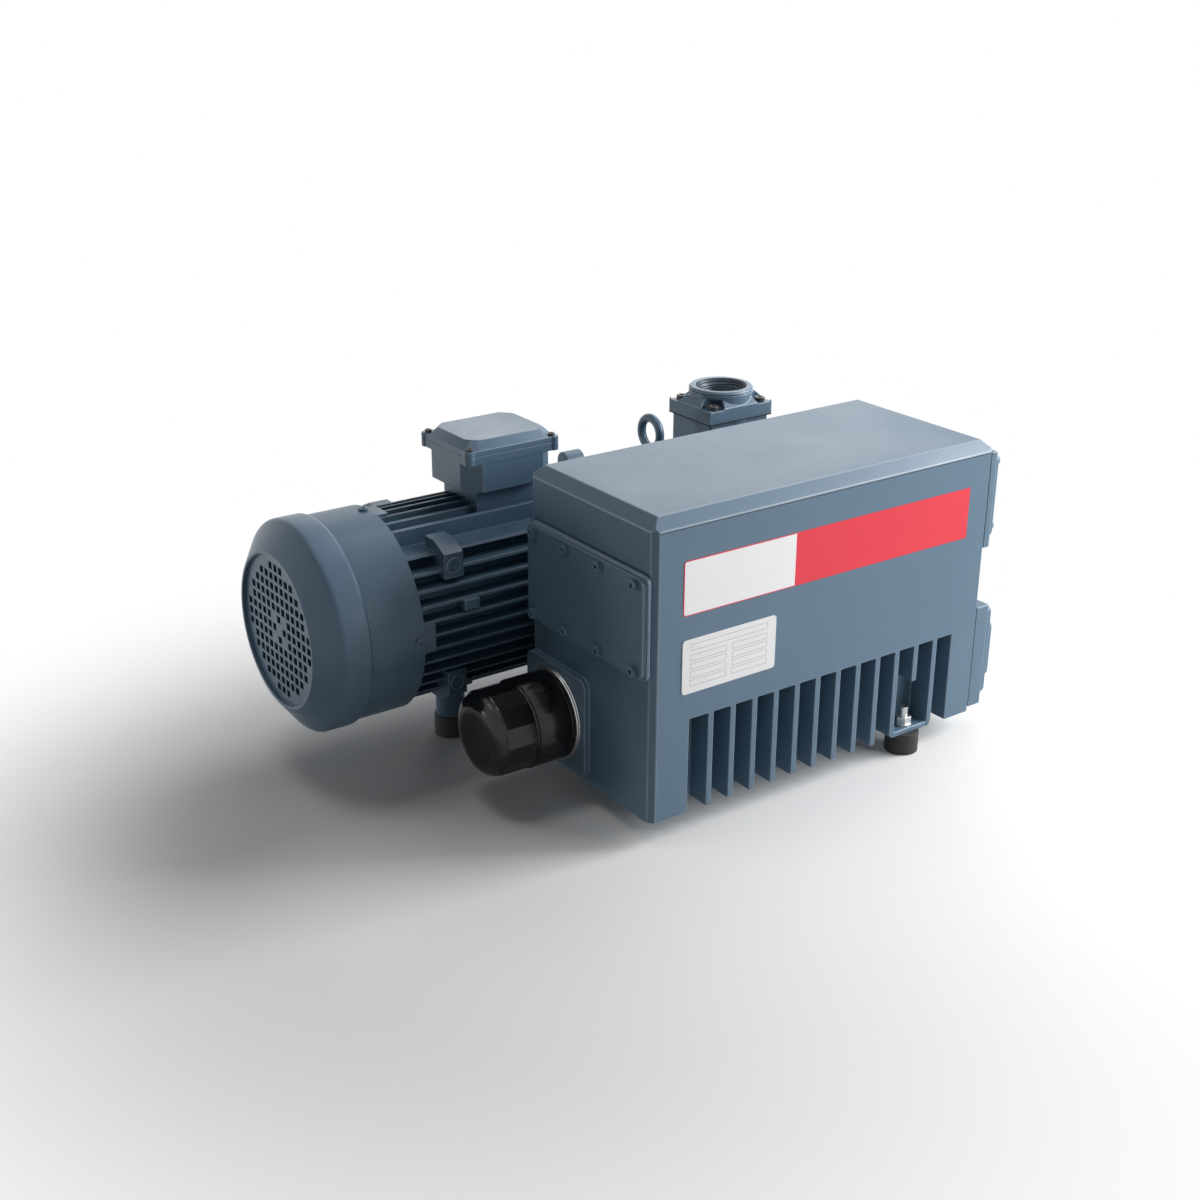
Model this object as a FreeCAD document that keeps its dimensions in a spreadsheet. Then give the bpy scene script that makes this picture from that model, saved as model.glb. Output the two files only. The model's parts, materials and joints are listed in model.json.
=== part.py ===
import FreeCAD, Part
import os
import re
import Sketcher
from math import cos, radians, sin
from FreeCAD import Placement, Rotation, Vector

# Oil-lubricated rotary vane vacuum pump with a flanged motor.
# Millimetres. The drawing frame has its zero at the front left bottom corner of
# the separator housing: X runs along the shaft, Y away from the ribbed front, Z up.
# Each sub-part's Placement then carries it into the part's own frame, whose zero
# is on the floor under the middle of the whole pump.

doc = FreeCAD.newDocument("VacuumPump")
sheet = doc.addObject("Spreadsheet::Sheet", "Sizes")

SIZES = {
    "Separator housing": {
        "housing_length": 365.0, "housing_width": 171.0, "housing_height": 257.0,
        "housing_wall": 7.0, "top_chamfer": 9.4, "corner_chamfer": 4.9,
        "recess_x": 37.4, "rib_recess_length": 293.7, "rib_recess_height": 84.0, "rib_recess_depth": 22.0,
        "first_rib_x": 56.7, "rib_pitch": 22.86, "rib_thickness": 5.6, "rib_count": 12,
        "bracket_floor": 5.0, "bracket_outer_round": 6.0, "bracket_inner_round": 2.5,
        "short_rib_bottom": 50.0,
        "window_length": 134.0, "window_height": 70.0,
    },
    "Rubber feet": {
        "foot_radius": 15.0, "foot_height": 20.0, "foot_y": 9.5, "stud_radius": 4.0,
        "stud_rise": 22.0, "washer_radius": 8.0, "washer_thickness": 1.6,
        "nut_flats": 13.0, "nut_height": 6.8, "motor_foot_x": -26.0, "motor_foot_y": 268.0,
        "rear_foot_along": 124.0, "rear_foot_y": 306.0, "leg_radius": 13.0,
    },
    "Exhaust filters and their cover": {
        "cover_y": 4.0, "cover_width": 159.0, "cover_z": 127.0, "cover_height": 84.0,
        "cover_thickness": 4.0, "cover_base": 3.0, "cover_base_margin": 2.0, "cover_round": 7.0,
        "gasket_thickness": 1.0,
        "cover_bolt_y": 13.8, "cover_bolt_step": 46.4, "cover_bolt_z": 133.2, "cover_bolt_rise": 71.6,
        "bolt_radius": 3.0, "bolt_head_radius": 5.2, "bolt_head_height": 4.2, "bolt_length": 14.0,
        "cartridge_radius": 31.0, "cartridge_length": 252.0, "cartridge_y": 47.0, "cartridge_step": 72.0,
        "cartridge_z": 169.0, "cartridge_bore": 18.0, "cartridge_cap": 6.0, "spring_thickness": 1.2,
    },
    "Outlet cover": {
        "outlet_y": 3.0, "outlet_width": 149.0, "outlet_z": 157.0, "outlet_height": 88.0,
        "outlet_pad": 7.0, "outlet_thickness": 10.0, "outlet_inset": 5.0,
        "outlet_port_radius": 19.5, "outlet_port_z": 203.0, "outlet_bolt_inset": 9.0, "outlet_bevel": 3.0,
    },
    "Oil sump cover": {
        "sump_y": 3.0, "sump_width": 149.0, "sump_z": 2.0, "sump_height": 98.0, "sump_pad": 15.0,
        "sump_inset": 5.0, "sump_thickness": 9.0, "hub_height": 56.0, "hub_z": 21.5, "hub_thickness": 9.0,
        "hub_inset": 3.0, "hub_bevel": 3.0, "glass_radius": 14.0, "glass_ring_radius": 19.0,
        "glass_ring_depth": 6.0,
        "glass_thickness": 3.0, "glass_z": 51.0, "glass_y": 79.0, "plug_radius": 9.0,
        "plug_flats": 19.0, "plug_head": 8.0, "fill_plug_y": 117.0, "fill_plug_z": 62.0,
        "drain_plug_y": 41.0, "drain_plug_z": 39.0,
    },
    "Oil filter": {
        "filter_y": 129.5, "filter_z": 49.6, "filter_pad_radius": 45.0, "filter_pad": 5.0,
        "filter_pad_round": 9.0,
        "filter_radius": 38.5, "filter_ring_radius": 40.5, "filter_ring_depth": 4.0,
        "filter_body": 35.5, "filter_flat_band": 28.5, "filter_flat_radius": 36.5,
        "filter_dome": 17.0, "filter_wall": 2.0, "nipple_radius": 10.0, "nipple_bore": 6.5,
        "nipple_length": 34.0, "flat_count": 14,
    },
    "Shaft line": {
        "axis_y": 261.4, "axis_z": 123.6, "shaft_radius": 12.0, "pump_shaft_radius": 14.0,
        "running_gap": 0.3, "shaft_fit": 0.04,
    },
    "Motor frame": {
        "frame_start_x": -101.0, "frame_length": 158.0, "frame_radius": 70.0, "frame_bore": 62.0,
        "lug_length": 11.0, "lug_width": 24.0,
        "fin_radius": 84.0, "fin_thickness": 2.6, "fin_pitch": 12.2, "side_fin_count": 11,
        "top_fin_pitch": 11.0,
        "top_fin_count": 7, "pad_width": 18.0, "pad_x": -72.6, "pad_reach": 73.4, "pad_slope": 17.0,
        "pad_low": 42.0, "pad_high": 64.0, "pad_rise": 8.0, "pad_ring_radius": 7.0, "pad_ring": 1.0,
        "pad_thread_radius": 5.0,
        "earth_boss_x": -60.0, "earth_boss_z": 15.0, "earth_boss_width": 14.0, "earth_boss_height": 9.0,
        "stator_bore": 42.5, "stator_length": 92.0, "stator_x": -76.0, "winding_length": 19.0,
        "winding_radius": 56.0, "winding_bore": 44.5, "core_gap": 0.5, "foot_pad_z": 30.0,
    },
    "Motor ends and fan": {
        "shield_thickness": 11.0, "shield_radius": 80.0, "bearing_radius": 26.0, "bearing_width": 15.0,
        "bearing_bore_wall": 6.0, "cowl_length": 91.5, "cowl_radius": 88.6, "band_radius": 91.2,
        "band_length": 25.0, "cowl_cone": 17.4, "ring_radius": 65.0, "ring_width": 3.0, "ring_depth": 3.5,
        "cowl_wall": 2.0, "grille_pitch": 9.1, "grille_hole": 6.2, "grille_radius": 60.0,
        "fan_radius": 76.0, "fan_width": 26.0, "fan_hub_radius": 22.0, "fan_blades": 8, "fan_blade": 3.0,
        "fan_gap": 10.0, "cowl_screw_radius": 4.0,
    },
    "Terminal box": {
        "box_x": 18.0, "box_length": 89.0, "box_width": 76.0, "box_height": 31.5, "box_cut": 14.0,
        "box_wall": 4.0, "box_rim": 6.0, "box_base": 5.0, "box_seat_z": 219.5, "box_step": 9.6,
        "box_step_height": 9.0, "lid_overhang": 3.0, "lid_height": 12.0,
        "lid_bevel": 7.0, "lid_gasket": 1.0, "lid_corner": 11.0, "lug_radius": 4.2, "lug_inset": 6.0,
        "gland_radius": 10.0, "gland_length": 12.0, "gland_bore": 5.0, "gland_rise": 10.5,
    },
    "Coupling": {
        "drive_shield": 13.0, "bell_length": 80.0, "bell_radius": 76.0, "bell_wall": 8.0,
        "bell_flange": 14.0, "bell_lug_x": 42.0, "bell_lug_radius": 9.0,
        "bell_lug_rise": 103.0, "hub_radius": 34.0, "coupling_spare": 3.2, "claw_length": 15.0,
        "claw_bore": 15.0, "claw_count": 3, "claw_angle": 52.0, "claw_gap": 0.6, "spider_angle": 6.0,
        "claw_turn": 4.0,
    },
    "Pump cylinder": {
        "bore_radius": 60.0, "rotor_offset": 7.7, "tangent_angle": 135.0, "cylinder_wall": 10.0,
        "cylinder_length": 148.0, "side_plate": 14.0, "side_plate_radius": 74.0,
        "rotor_radius": 52.0, "rotor_gap": 0.3, "vane_thickness": 8.0, "vane_height": 30.0,
        "vane_sink": 3.0, "vane_gap": 0.1, "slot_spare": 1.5, "vane_count": 3,
        "mount_plate": 12.0, "mount_length": 158.0, "mount_height": 112.0, "port_radius": 8.0,
        "port_count": 4, "port_pitch": 30.0, "neck_radius": 30.0, "eye_boss_radius": 13.0, "eye_along": 28.0,
        "eye_seat_z": 205.0, "bush_wall": 3.0, "end_cap_radius": 40.0,
        "end_cap": 12.0, "seal_radius": 22.0, "seal_width": 8.0,
    },
    "Intake": {
        "intake_along": 110.0, "flange_length": 74.8, "flange_width": 61.8, "flange_seat_z": 233.7,
        "flange_height": 19.4, "flange_round": 2.0, "flange_bevel": 6.5, "neck_inset": 2.5,
        "collar_radius": 30.2, "collar_height": 7.5, "collar_bevel": 1.7, "collar_groove": 0.8,
        "intake_thread_radius": 19.5,
        "intake_mouth_radius": 24.4, "mouth_chamfer": 3.7, "intake_depth": 18.5, "screw_inset": 9.5,
        "screw_side_inset": 7.5,
        "pocket_radius": 10.5, "pocket_depth": 7.6, "inlet_bore": 17.0, "screen_thickness": 0.8,
        "screen_recess": 0.3,
        "valve_radius": 18.0, "valve_thickness": 3.0, "valve_travel": 6.0, "valve_guide": 3.0,
        "valve_room": 10.0,
        "spring_length": 16.2, "bridge_height": 5.0,
    },
    "Oil return float": {
        "float_radius": 14.0, "float_length": 34.0, "float_x": 86.0, "float_post": 34.0,
        "lever_length": 48.0, "lever_thickness": 2.0, "lever_width": 10.0, "pin_radius": 2.0,
        "float_block": 16.0,
    },
    "Exhaust valve": {
        "reed_length": 124.0, "reed_height": 24.0, "reed_thickness": 0.8, "stop_thickness": 3.0,
       
    },
    "Lifting eye": {
        "eye_outer_radius": 18.0, "eye_inner_radius": 10.0, "eye_collar_radius": 10.0,
        "eye_collar_height": 6.0, "eye_shank": 14.0,
    },
}

SIZE = {}
row = 1
for section, entries in SIZES.items():
    sheet.set("A%d" % row, section)
    row += 1
    for alias, value in entries.items():
        sheet.set("A%d" % row, alias.replace("_", " "))
        sheet.set("B%d" % row, str(value))
        sheet.setAlias("B%d" % row, alias)
        SIZE[alias] = value
        row += 1
doc.recompute()


CYLINDER_X = "(frame_start_x + frame_length + drive_shield + bell_length + side_plate)"
WORKED_OUT = {
    "intake_x": "(%s + intake_along)" % CYLINDER_X,
    "eye_x": "(%s + eye_along)" % CYLINDER_X,
    "rear_foot_x": "(%s + rear_foot_along)" % CYLINDER_X,
    "hub_length": "((bell_length - seal_width - claw_length - 3 * claw_gap - coupling_spare) / 2)",
}


def linked(formula):
    """Turn a formula in aliases and worked-out names into one that reads the sheet."""
    for name, meaning in WORKED_OUT.items():
        formula = re.sub(r"\b%s\b" % name, meaning, formula)
    return re.sub(r"\b([a-z]+(?:_[a-z]+)+)\b", r"Sizes.\1", formula)


def tie(item, **formulas):
    for name, formula in formulas.items():
        item.setExpression(name, linked(str(formula)))


def place(item, x, y, z):
    for axis, formula in zip("xyz", (x, y, z)):
        item.setExpression("Placement.Base." + axis, linked(str(formula)))
    return item


def block(length, width, height, x, y, z):
    item = doc.addObject("Part::Box", "Block")
    tie(item, Length=length, Width=width, Height=height)
    return place(item, x, y, z)


LYING = {
    "x": Rotation(Vector(0, 1, 0), 90),
    "y": Rotation(Vector(1, 0, 0), -90),
    "z": Rotation(),
}


def rod(radius, length, x, y, z, along="x"):
    item = doc.addObject("Part::Cylinder", "Rod")
    item.Placement = Placement(Vector(), LYING[along])
    tie(item, Radius=radius, Height=length)
    return place(item, x, y, z)


def taper(radius_a, radius_b, length, x, y, z, along="x"):
    item = doc.addObject("Part::Cone", "Taper")
    item.Placement = Placement(Vector(), LYING[along])
    tie(item, Radius1=radius_a, Radius2=radius_b, Height=length)
    return place(item, x, y, z)


def prism(flats, length, x, y, z, along="x", sides=6):
    item = doc.addObject("Part::Prism", "Prism")
    item.Polygon = sides
    item.Placement = Placement(Vector(), LYING[along])
    tie(item, Circumradius="(%s) / 2 / cos(180 / %d)" % (flats, sides), Height=length)
    return place(item, x, y, z)


def spoke(angle, inner, outer, thickness, x, length, y="axis_y", z="axis_z"):
    """A flat bar that stands out from a line along X, at an angle from +Y towards +Z."""
    item = doc.addObject("Part::Box", "Spoke")
    item.Placement = Placement(Vector(), Rotation(Vector(1, 0, 0), angle - 90))
    tie(item, Length=length, Width=thickness, Height="(%s) - (%s)" % (outer, inner))
    across = "%s + (%s) * cos(%s) - (%s) / 2 * sin(%s)" % (y, inner, angle, thickness, angle)
    upward = "%s + (%s) * sin(%s) + (%s) / 2 * cos(%s)" % (z, inner, angle, thickness, angle)
    return place(item, x, across, upward)


def sector(radius, length, start, sweep, x, y="axis_y", z="axis_z"):
    """A wedge of a cylinder along X, from an angle measured from +Y towards +Z."""
    item = doc.addObject("Part::Cylinder", "Sector")
    item.Placement = Placement(Vector(), Rotation(Vector(1, 0, 0), start) * Rotation(Vector(1, 1, 1), 120))
    tie(item, Radius=radius, Height=length, Angle=sweep)
    return place(item, x, y, z)


def wedge(length, x, front, back, front_z, back_z):
    """A block along X whose bottom and top differ between its front and its back."""
    item = doc.addObject("Part::Wedge", "Wedge")
    item.Xmin = item.X2min = 0
    tie(item, Xmax=length, X2max=length, Ymin=front, Ymax=back,
        Zmin=front_z[0], Zmax=front_z[1], Z2min=back_z[0], Z2max=back_z[1])
    return place(item, x, "0", "0")


def join(*items):
    item = doc.addObject("Part::MultiFuse", "Joined")
    item.Shapes = list(items)
    item.Refine = True
    return item


def group(*items):
    item = doc.addObject("Part::Compound", "Group")
    item.Links = list(items)
    return item


def cut(base, *tools):
    item = doc.addObject("Part::Cut", "Cut")
    item.Base = base
    item.Tool = tools[0] if len(tools) == 1 else join(*tools)
    item.Refine = True
    return item


def common(first, second):
    item = doc.addObject("Part::Common", "Common")
    item.Base = first
    item.Tool = second
    return item


def tube(outer, inner, length, x, y, z, along="x"):
    return cut(rod(outer, length, x, y, z, along), rod(inner, length, x, y, z, along))


def edges_along(shape, direction):
    """Numbers of the straight edges that run along a direction."""
    found = []
    for number, edge in enumerate(shape.Edges, 1):
        if isinstance(edge.Curve, Part.Line):
            if abs(abs(edge.Curve.Direction.dot(direction)) - 1) < 1e-6:
                found.append(number)
    return found


def rounded(item, direction, alias):
    """Round the edges of a piece that run along a direction."""
    doc.recompute()
    fillet = doc.addObject("Part::Fillet", "Rounded")
    fillet.Base = item
    radius = SIZE[alias]
    fillet.Edges = [(number, radius, radius) for number in edges_along(item.Shape, direction)]
    return fillet


def bevelled(item, radius, outermost, fillet=False):
    """Bevel or round the edges that lie in a piece's outermost face, found by a bound of its box."""
    doc.recompute()
    limit = getattr(item.Shape.BoundBox, outermost)
    other = outermost.replace("Max", "Min") if "Max" in outermost else outermost.replace("Min", "Max")
    result = doc.addObject("Part::Fillet" if fillet else "Part::Chamfer", "Bevelled")
    result.Base = item
    result.Edges = [(number, radius, radius) for number, edge in enumerate(item.Shape.Edges, 1)
                    if abs(getattr(edge.BoundBox, outermost) - limit) < 0.001
                    and abs(getattr(edge.BoundBox, other) - limit) < 0.001]
    return result


ALONG_X = Vector(1, 0, 0)
ALONG_Y = Vector(0, 1, 0)
ALONG_Z = Vector(0, 0, 1)

# Where the part's own zero lies in the drawing frame
FRONT_Y = "(foot_y - foot_radius)"
BACK_Y = "(axis_y + band_radius)"
RIGHT_X = "(housing_length + sump_pad + gasket_thickness + sump_thickness + hub_thickness + plug_head)"
LEFT_X = "(frame_start_x - cowl_length)"
ORIGIN = (
    "-(%s + %s) / 2" % (LEFT_X, RIGHT_X),
    "-(%s + %s) / 2" % (FRONT_Y, BACK_Y),
    "foot_height",
)

pieces = []


def piece(node, item):
    """Name a sub-part and carry it into the part's own frame."""
    if item.TypeId in ("Part::Box", "Part::Cylinder", "Part::Cone", "Part::Prism"):
        item = group(item)
    item.Label = node
    place(item, *ORIGIN)
    pieces.append(item)
    return item


FOOT_X = "(first_rib_x + (rib_count - 2) * rib_pitch + rib_thickness / 2)"
CYLINDER_END = "(%s + cylinder_length)" % CYLINDER_X
BORE_Y = "(axis_y - rotor_offset * cos(tangent_angle))"
BORE_Z = "(axis_z - rotor_offset * sin(tangent_angle))"


# Separator housing: the ribbed casting that holds the oil and the exhaust filters

def plane_sketch(body, role, name):
    plane = [item for item in body.Origin.OriginFeatures if item.Role == role][0]
    sketch = body.newObject("Sketcher::SketchObject", name)
    sketch.AttachmentSupport = [(plane, "")]
    sketch.MapMode = "FlatFace"
    return sketch


def rectangle(sketch, left, bottom, width, height):
    """A rectangle whose place and size are bound to formulas."""
    corners = [Vector(1, 1, 0), Vector(2, 1, 0), Vector(2, 2, 0), Vector(1, 2, 0)]
    first = sketch.GeometryCount
    for number in range(4):
        sketch.addGeometry(Part.LineSegment(corners[number], corners[(number + 1) % 4]), False)
    for number in range(4):
        after = first + (number + 1) % 4
        sketch.addConstraint(Sketcher.Constraint("Coincident", first + number, 2, after, 1))
        kind = "Vertical" if number % 2 else "Horizontal"
        sketch.addConstraint(Sketcher.Constraint(kind, first + number))
    measures = (
        ("DistanceX", -1, 1, first, 1, left), ("DistanceY", -1, 1, first, 1, bottom),
        ("DistanceX", first, 1, first, 2, width), ("DistanceY", first + 1, 1, first + 1, 2, height),
    )
    for kind, item_a, end_a, item_b, end_b, formula in measures:
        number = sketch.addConstraint(Sketcher.Constraint(kind, item_a, end_a, item_b, end_b, 1.0))
        sketch.setExpression("Constraints[%d]" % number, linked(formula))


def pad(body, sketch, length, name, reverse=False):
    feature = body.newObject("PartDesign::Pad", name)
    feature.Profile = sketch
    feature.Reversed = reverse
    tie(feature, Length=length)
    doc.recompute()
    return feature


def pocket(body, sketch, length, name, reverse=False):
    feature = body.newObject("PartDesign::Pocket", name)
    feature.Profile = sketch
    feature.Reversed = reverse
    tie(feature, Length=length)
    doc.recompute()
    return feature


def separator_housing():
    body = doc.addObject("PartDesign::Body", "HousingBody")
    outline = plane_sketch(body, "XY_Plane", "HousingOutline")
    rectangle(outline, "0", "0", "housing_length", "housing_width")
    casting = pad(body, outline, "housing_height", "HousingBlock")

    top_edges = []
    for number, edge in enumerate(casting.Shape.Edges, 1):
        if edge.BoundBox.ZMin > SIZE["housing_height"] - 0.01:
            top_edges.append("Edge%d" % number)
    top = body.newObject("PartDesign::Chamfer", "HousingTop")
    top.Base = (casting, top_edges)
    tie(top, Size="top_chamfer")
    doc.recompute()
    corners = body.newObject("PartDesign::Chamfer", "HousingCorners")
    corners.Base = (top, ["Edge%d" % n for n in edges_along(top.Shape, ALONG_Z)])
    tie(corners, Size="corner_chamfer")
    doc.recompute()

    recess = plane_sketch(body, "XZ_Plane", "RibRecess")
    rectangle(recess, "recess_x", "0", "rib_recess_length", "rib_recess_height")
    pocket(body, recess, "rib_recess_depth", "RecessPocket")
    rib = plane_sketch(body, "XZ_Plane", "RibOutline")
    rectangle(rib, "first_rib_x", "0", "rib_thickness", "rib_recess_height")
    rib_pad = pad(body, rib, "rib_recess_depth", "Rib", reverse=True)
    ribs = body.newObject("PartDesign::LinearPattern", "Ribs")
    ribs.Originals = [rib_pad]
    ribs.Direction = (rib, ["H_Axis"])
    ribs.Occurrences = int(SIZE["rib_count"])
    tie(ribs, Length="rib_pitch * (rib_count - 1)")
    body.Tip = ribs
    doc.recompute()

    bracket_x = "first_rib_x + (rib_count - 3) * rib_pitch"
    bracket_length = "2 * rib_pitch + rib_thickness"
    gap = plane_sketch(body, "XZ_Plane", "BracketGap")
    rectangle(gap, bracket_x + " + rib_thickness", "0", "2 * rib_pitch - rib_thickness", "short_rib_bottom")
    pocket(body, gap, "rib_recess_depth", "BracketPocket")
    floor = plane_sketch(body, "XZ_Plane", "BracketFloor")
    rectangle(floor, bracket_x, "0", bracket_length, "bracket_floor")
    plate = pad(body, floor, "rib_recess_depth", "BracketPlate", reverse=True)
    left = SIZE["first_rib_x"] + (SIZE["rib_count"] - 3) * SIZE["rib_pitch"]
    right = left + 2 * SIZE["rib_pitch"] + SIZE["rib_thickness"]
    thick = SIZE["rib_thickness"]
    for name, height, walls in (("bracket_outer_round", 0, (left, right)),
                                ("bracket_inner_round", SIZE["bracket_floor"],
                                 (left + thick, right - thick))):
        corners = ["Edge%d" % number for number in edges_along(plate.Shape, ALONG_Y)
                   if abs(plate.Shape.Edges[number - 1].BoundBox.ZMin - height) < 0.01
                   and min(abs(plate.Shape.Edges[number - 1].BoundBox.XMin - x) for x in walls) < 0.01]
        turned = body.newObject("PartDesign::Fillet", name.title().replace("_", ""))
        turned.Base = (plate, corners)
        tie(turned, Radius=name)
        doc.recompute()
        plate = turned
    return body


def housing_cavity():
    inner_length = "housing_length - 2 * housing_wall"
    upper_z = "rib_recess_height + housing_wall"
    sump_front = "(rib_recess_depth + housing_wall)"
    upper = block(inner_length, "housing_width - 2 * housing_wall",
                  "housing_height - housing_wall - (%s)" % upper_z,
                  "housing_wall", "housing_wall", upper_z)
    lower = block(inner_length, "housing_width - housing_wall - " + sump_front, upper_z,
                  "housing_wall", sump_front, "housing_wall")
    return [upper, lower]


def cover_bolts():
    """Places of the eight bolts of the filter cover, as formulas for Y and Z."""
    spots = []
    for column in range(4):
        for level in range(2):
            spots.append(("cover_bolt_y + %d * cover_bolt_step" % column,
                          "cover_bolt_z + %d * cover_bolt_rise" % level))
    return spots


def corner_bolts(y, width, z, height, inset):
    """Places of six bolts round a plate on the right end: its corners and the middles of its long sides."""
    spots = []
    for share in (0, 0.5, 1):
        for level in (0, 1):
            spots.append(("%s + %s + %s * (%s - 2 * %s)" % (y, inset, share, width, inset),
                          "%s + %s + %d * (%s - 2 * %s)" % (z, inset, level, height, inset)))
    return spots


OUTLET_PLATE = ("(outlet_y + outlet_inset)", "(outlet_width - 2 * outlet_inset)",
                "(outlet_z + outlet_inset)", "(outlet_height - 2 * outlet_inset)")
SUMP_PLATE = ("(sump_y + sump_inset)", "(sump_width - 2 * sump_inset)",
              "(sump_z + sump_inset)", "(sump_height - 2 * sump_inset)")
OUTLET_BOLTS = corner_bolts(*OUTLET_PLATE, "outlet_bolt_inset")
SUMP_BOLTS = corner_bolts(*SUMP_PLATE, "outlet_bolt_inset")
MOUNT_X = "(%s + cylinder_length / 2 - mount_length / 2)" % CYLINDER_X
MOUNT_Z = "(axis_z - mount_height / 2)"
MOUNT_BOLTS = []
for side in (0, 1):
    for level in (0, 1):
        MOUNT_BOLTS.append(("%s + 7 + %d * (mount_length - 14)" % (MOUNT_X, side),
                            "%s + 7 + %d * (mount_height - 14)" % (MOUNT_Z, level)))


def window_through(plate, inset, x, depth):
    y, width, z, height = plate
    return block(depth, "%s - 2 * %s" % (width, inset), "%s - 2 * %s" % (height, inset),
                 x, "%s + %s" % (y, inset), "%s + %s" % (z, inset))


def make_housing():
    filter_pad = rounded(block("filter_pad", "filter_pad_radius + housing_width - filter_y",
                               "2 * filter_pad_radius",
                               "-filter_pad", "filter_y - filter_pad_radius", "filter_z - filter_pad_radius"),
                         ALONG_X, "filter_pad_round")
    outlet_pad = block("outlet_pad", "outlet_width", "outlet_height", "housing_length", "outlet_y",
                       "outlet_z")
    sump_pad = block("sump_pad", "sump_width", "sump_height", "housing_length", "sump_y", "sump_z")
    tools = []
    for y, z in cover_bolts():
        tools.append(rod("bolt_radius + running_gap", "2 * housing_wall", "-1", y, z))
    for step in range(2):
        tools.append(rod("cartridge_radius + 1", "2 * housing_wall", "-housing_wall / 2",
                         "cartridge_y + %d * cartridge_step" % step, "cartridge_z"))
    tools.append(rod("nipple_radius + running_gap / 2", "4 * housing_wall", "-2 * housing_wall", "filter_y",
                     "filter_z"))
    for y, z in OUTLET_BOLTS + SUMP_BOLTS:
        tools.append(rod("bolt_radius + running_gap", "housing_wall + sump_pad",
                         "housing_length - housing_wall / 2", y, z))
    tools.append(window_through(OUTLET_PLATE, "(2 * outlet_bolt_inset)", "housing_length - 2 * housing_wall",
                                "4 * housing_wall"))
    tools.append(window_through(SUMP_PLATE, "(2 * outlet_bolt_inset)", "housing_length - 2 * housing_wall",
                                "5 * housing_wall"))
    tools.append(block("window_length", "2 * housing_wall", "window_height",
                       "%s + cylinder_length / 2 - window_length / 2" % CYLINDER_X,
                       "housing_width - 1.5 * housing_wall", "axis_z - window_height / 2"))
    for x, z in MOUNT_BOLTS:
        tools.append(rod("bolt_radius + running_gap", "2 * housing_wall", x,
                         "housing_width - 1.5 * housing_wall", z, "y"))
    tools.append(rod("stud_radius + running_gap / 2", "2 * bracket_floor", FOOT_X, "foot_y",
                     "-bracket_floor / 2", "z"))
    shell = cut(separator_housing(), *housing_cavity())
    casting = join(shell, filter_pad, outlet_pad, sump_pad)
    piece("separator_housing", cut(casting, *tools))


# Rubber feet, their studs, washers and nuts

def hex_nut(x, y, z):
    return cut(prism("nut_flats", "nut_height", x, y, z, "z"),
               rod("stud_radius", "nut_height", x, y, z, "z"))


def make_feet():
    feet = (
        (FOOT_X, "foot_y"),
        ("rear_foot_x", "rear_foot_y"),
        ("motor_foot_x", "motor_foot_y"),
    )
    rubbers, studs, nuts, washers = [], [], [], []
    for x, y in feet:
        rubbers.append(rod("foot_radius", "foot_height", x, y, "-foot_height", "z"))
        studs.append(rod("stud_radius", "stud_rise", x, y, "0", "z"))
    x, y = feet[0]
    washers.append(tube("washer_radius", "stud_radius", "washer_thickness", x, y, "bracket_floor", "z"))
    nuts.append(hex_nut(x, y, "bracket_floor + washer_thickness"))
    piece("rubber_feet", group(*rubbers))
    piece("foot_fasteners", group(*(studs + washers + nuts)))


# Exhaust filter cartridges behind the bolted cover on the left end

def cap_screw(x, y, z, length, along="x", forward=True):
    """A round-headed screw whose head sits on a face; its shank goes along the axis, or against it."""
    shift = {"x": 0, "y": 1, "z": 2}[along]
    spot = [x, y, z]
    head = list(spot)
    shank = list(spot)
    if forward:
        head[shift] = "%s - bolt_head_height" % spot[shift]
    else:
        shank[shift] = "%s - (%s)" % (spot[shift], length)
    socket = list(head)
    socket[shift] = head[shift] if forward else "%s + bolt_head_height / 2" % spot[shift]
    solid = join(rod("bolt_head_radius", "bolt_head_height", *head, along),
                 rod("bolt_radius", length, *shank, along))
    return cut(solid, prism("bolt_radius * 1.6", "bolt_head_height / 2", *socket, along))


gaskets = []
cover_screws = []
pump_screws = []
motor_screws = []


def make_filter_cover():
    base_x = "-gasket_thickness - cover_base"
    place_x = base_x + " - cover_thickness"
    plate = bevelled(rounded(block("cover_thickness", "cover_width", "cover_height", place_x, "cover_y",
                                   "cover_z"),
                             ALONG_X, "cover_round"), 1.0, "XMin", fillet=True)
    base = rounded(block("cover_base", "cover_width + cover_base_margin",
                         "cover_height + 2 * cover_base_margin", base_x,
                         "cover_y - cover_base_margin", "cover_z - cover_base_margin"), ALONG_X,
                         "cover_round")
    gasket = rounded(block("gasket_thickness", "cover_width", "cover_height", "-gasket_thickness", "cover_y",
                           "cover_z"),
                     ALONG_X, "cover_round")
    holes = [rod("bolt_radius + running_gap / 2", "3 * cover_thickness", "-2 * cover_thickness", y, z) for y,
             z in cover_bolts()]
    mouths = [rod("cartridge_radius + 1", "3 * cover_thickness", "-2 * cover_thickness",
                  "cartridge_y + %d * cartridge_step" % step, "cartridge_z") for step in range(2)]
    piece("filter_cover", cut(join(plate, base), *holes))
    gaskets.append(cut(gasket, *(holes + mouths)))
    cover_screws.extend([cap_screw(place_x, y, z, "bolt_length") for y, z in cover_bolts()])


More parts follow.
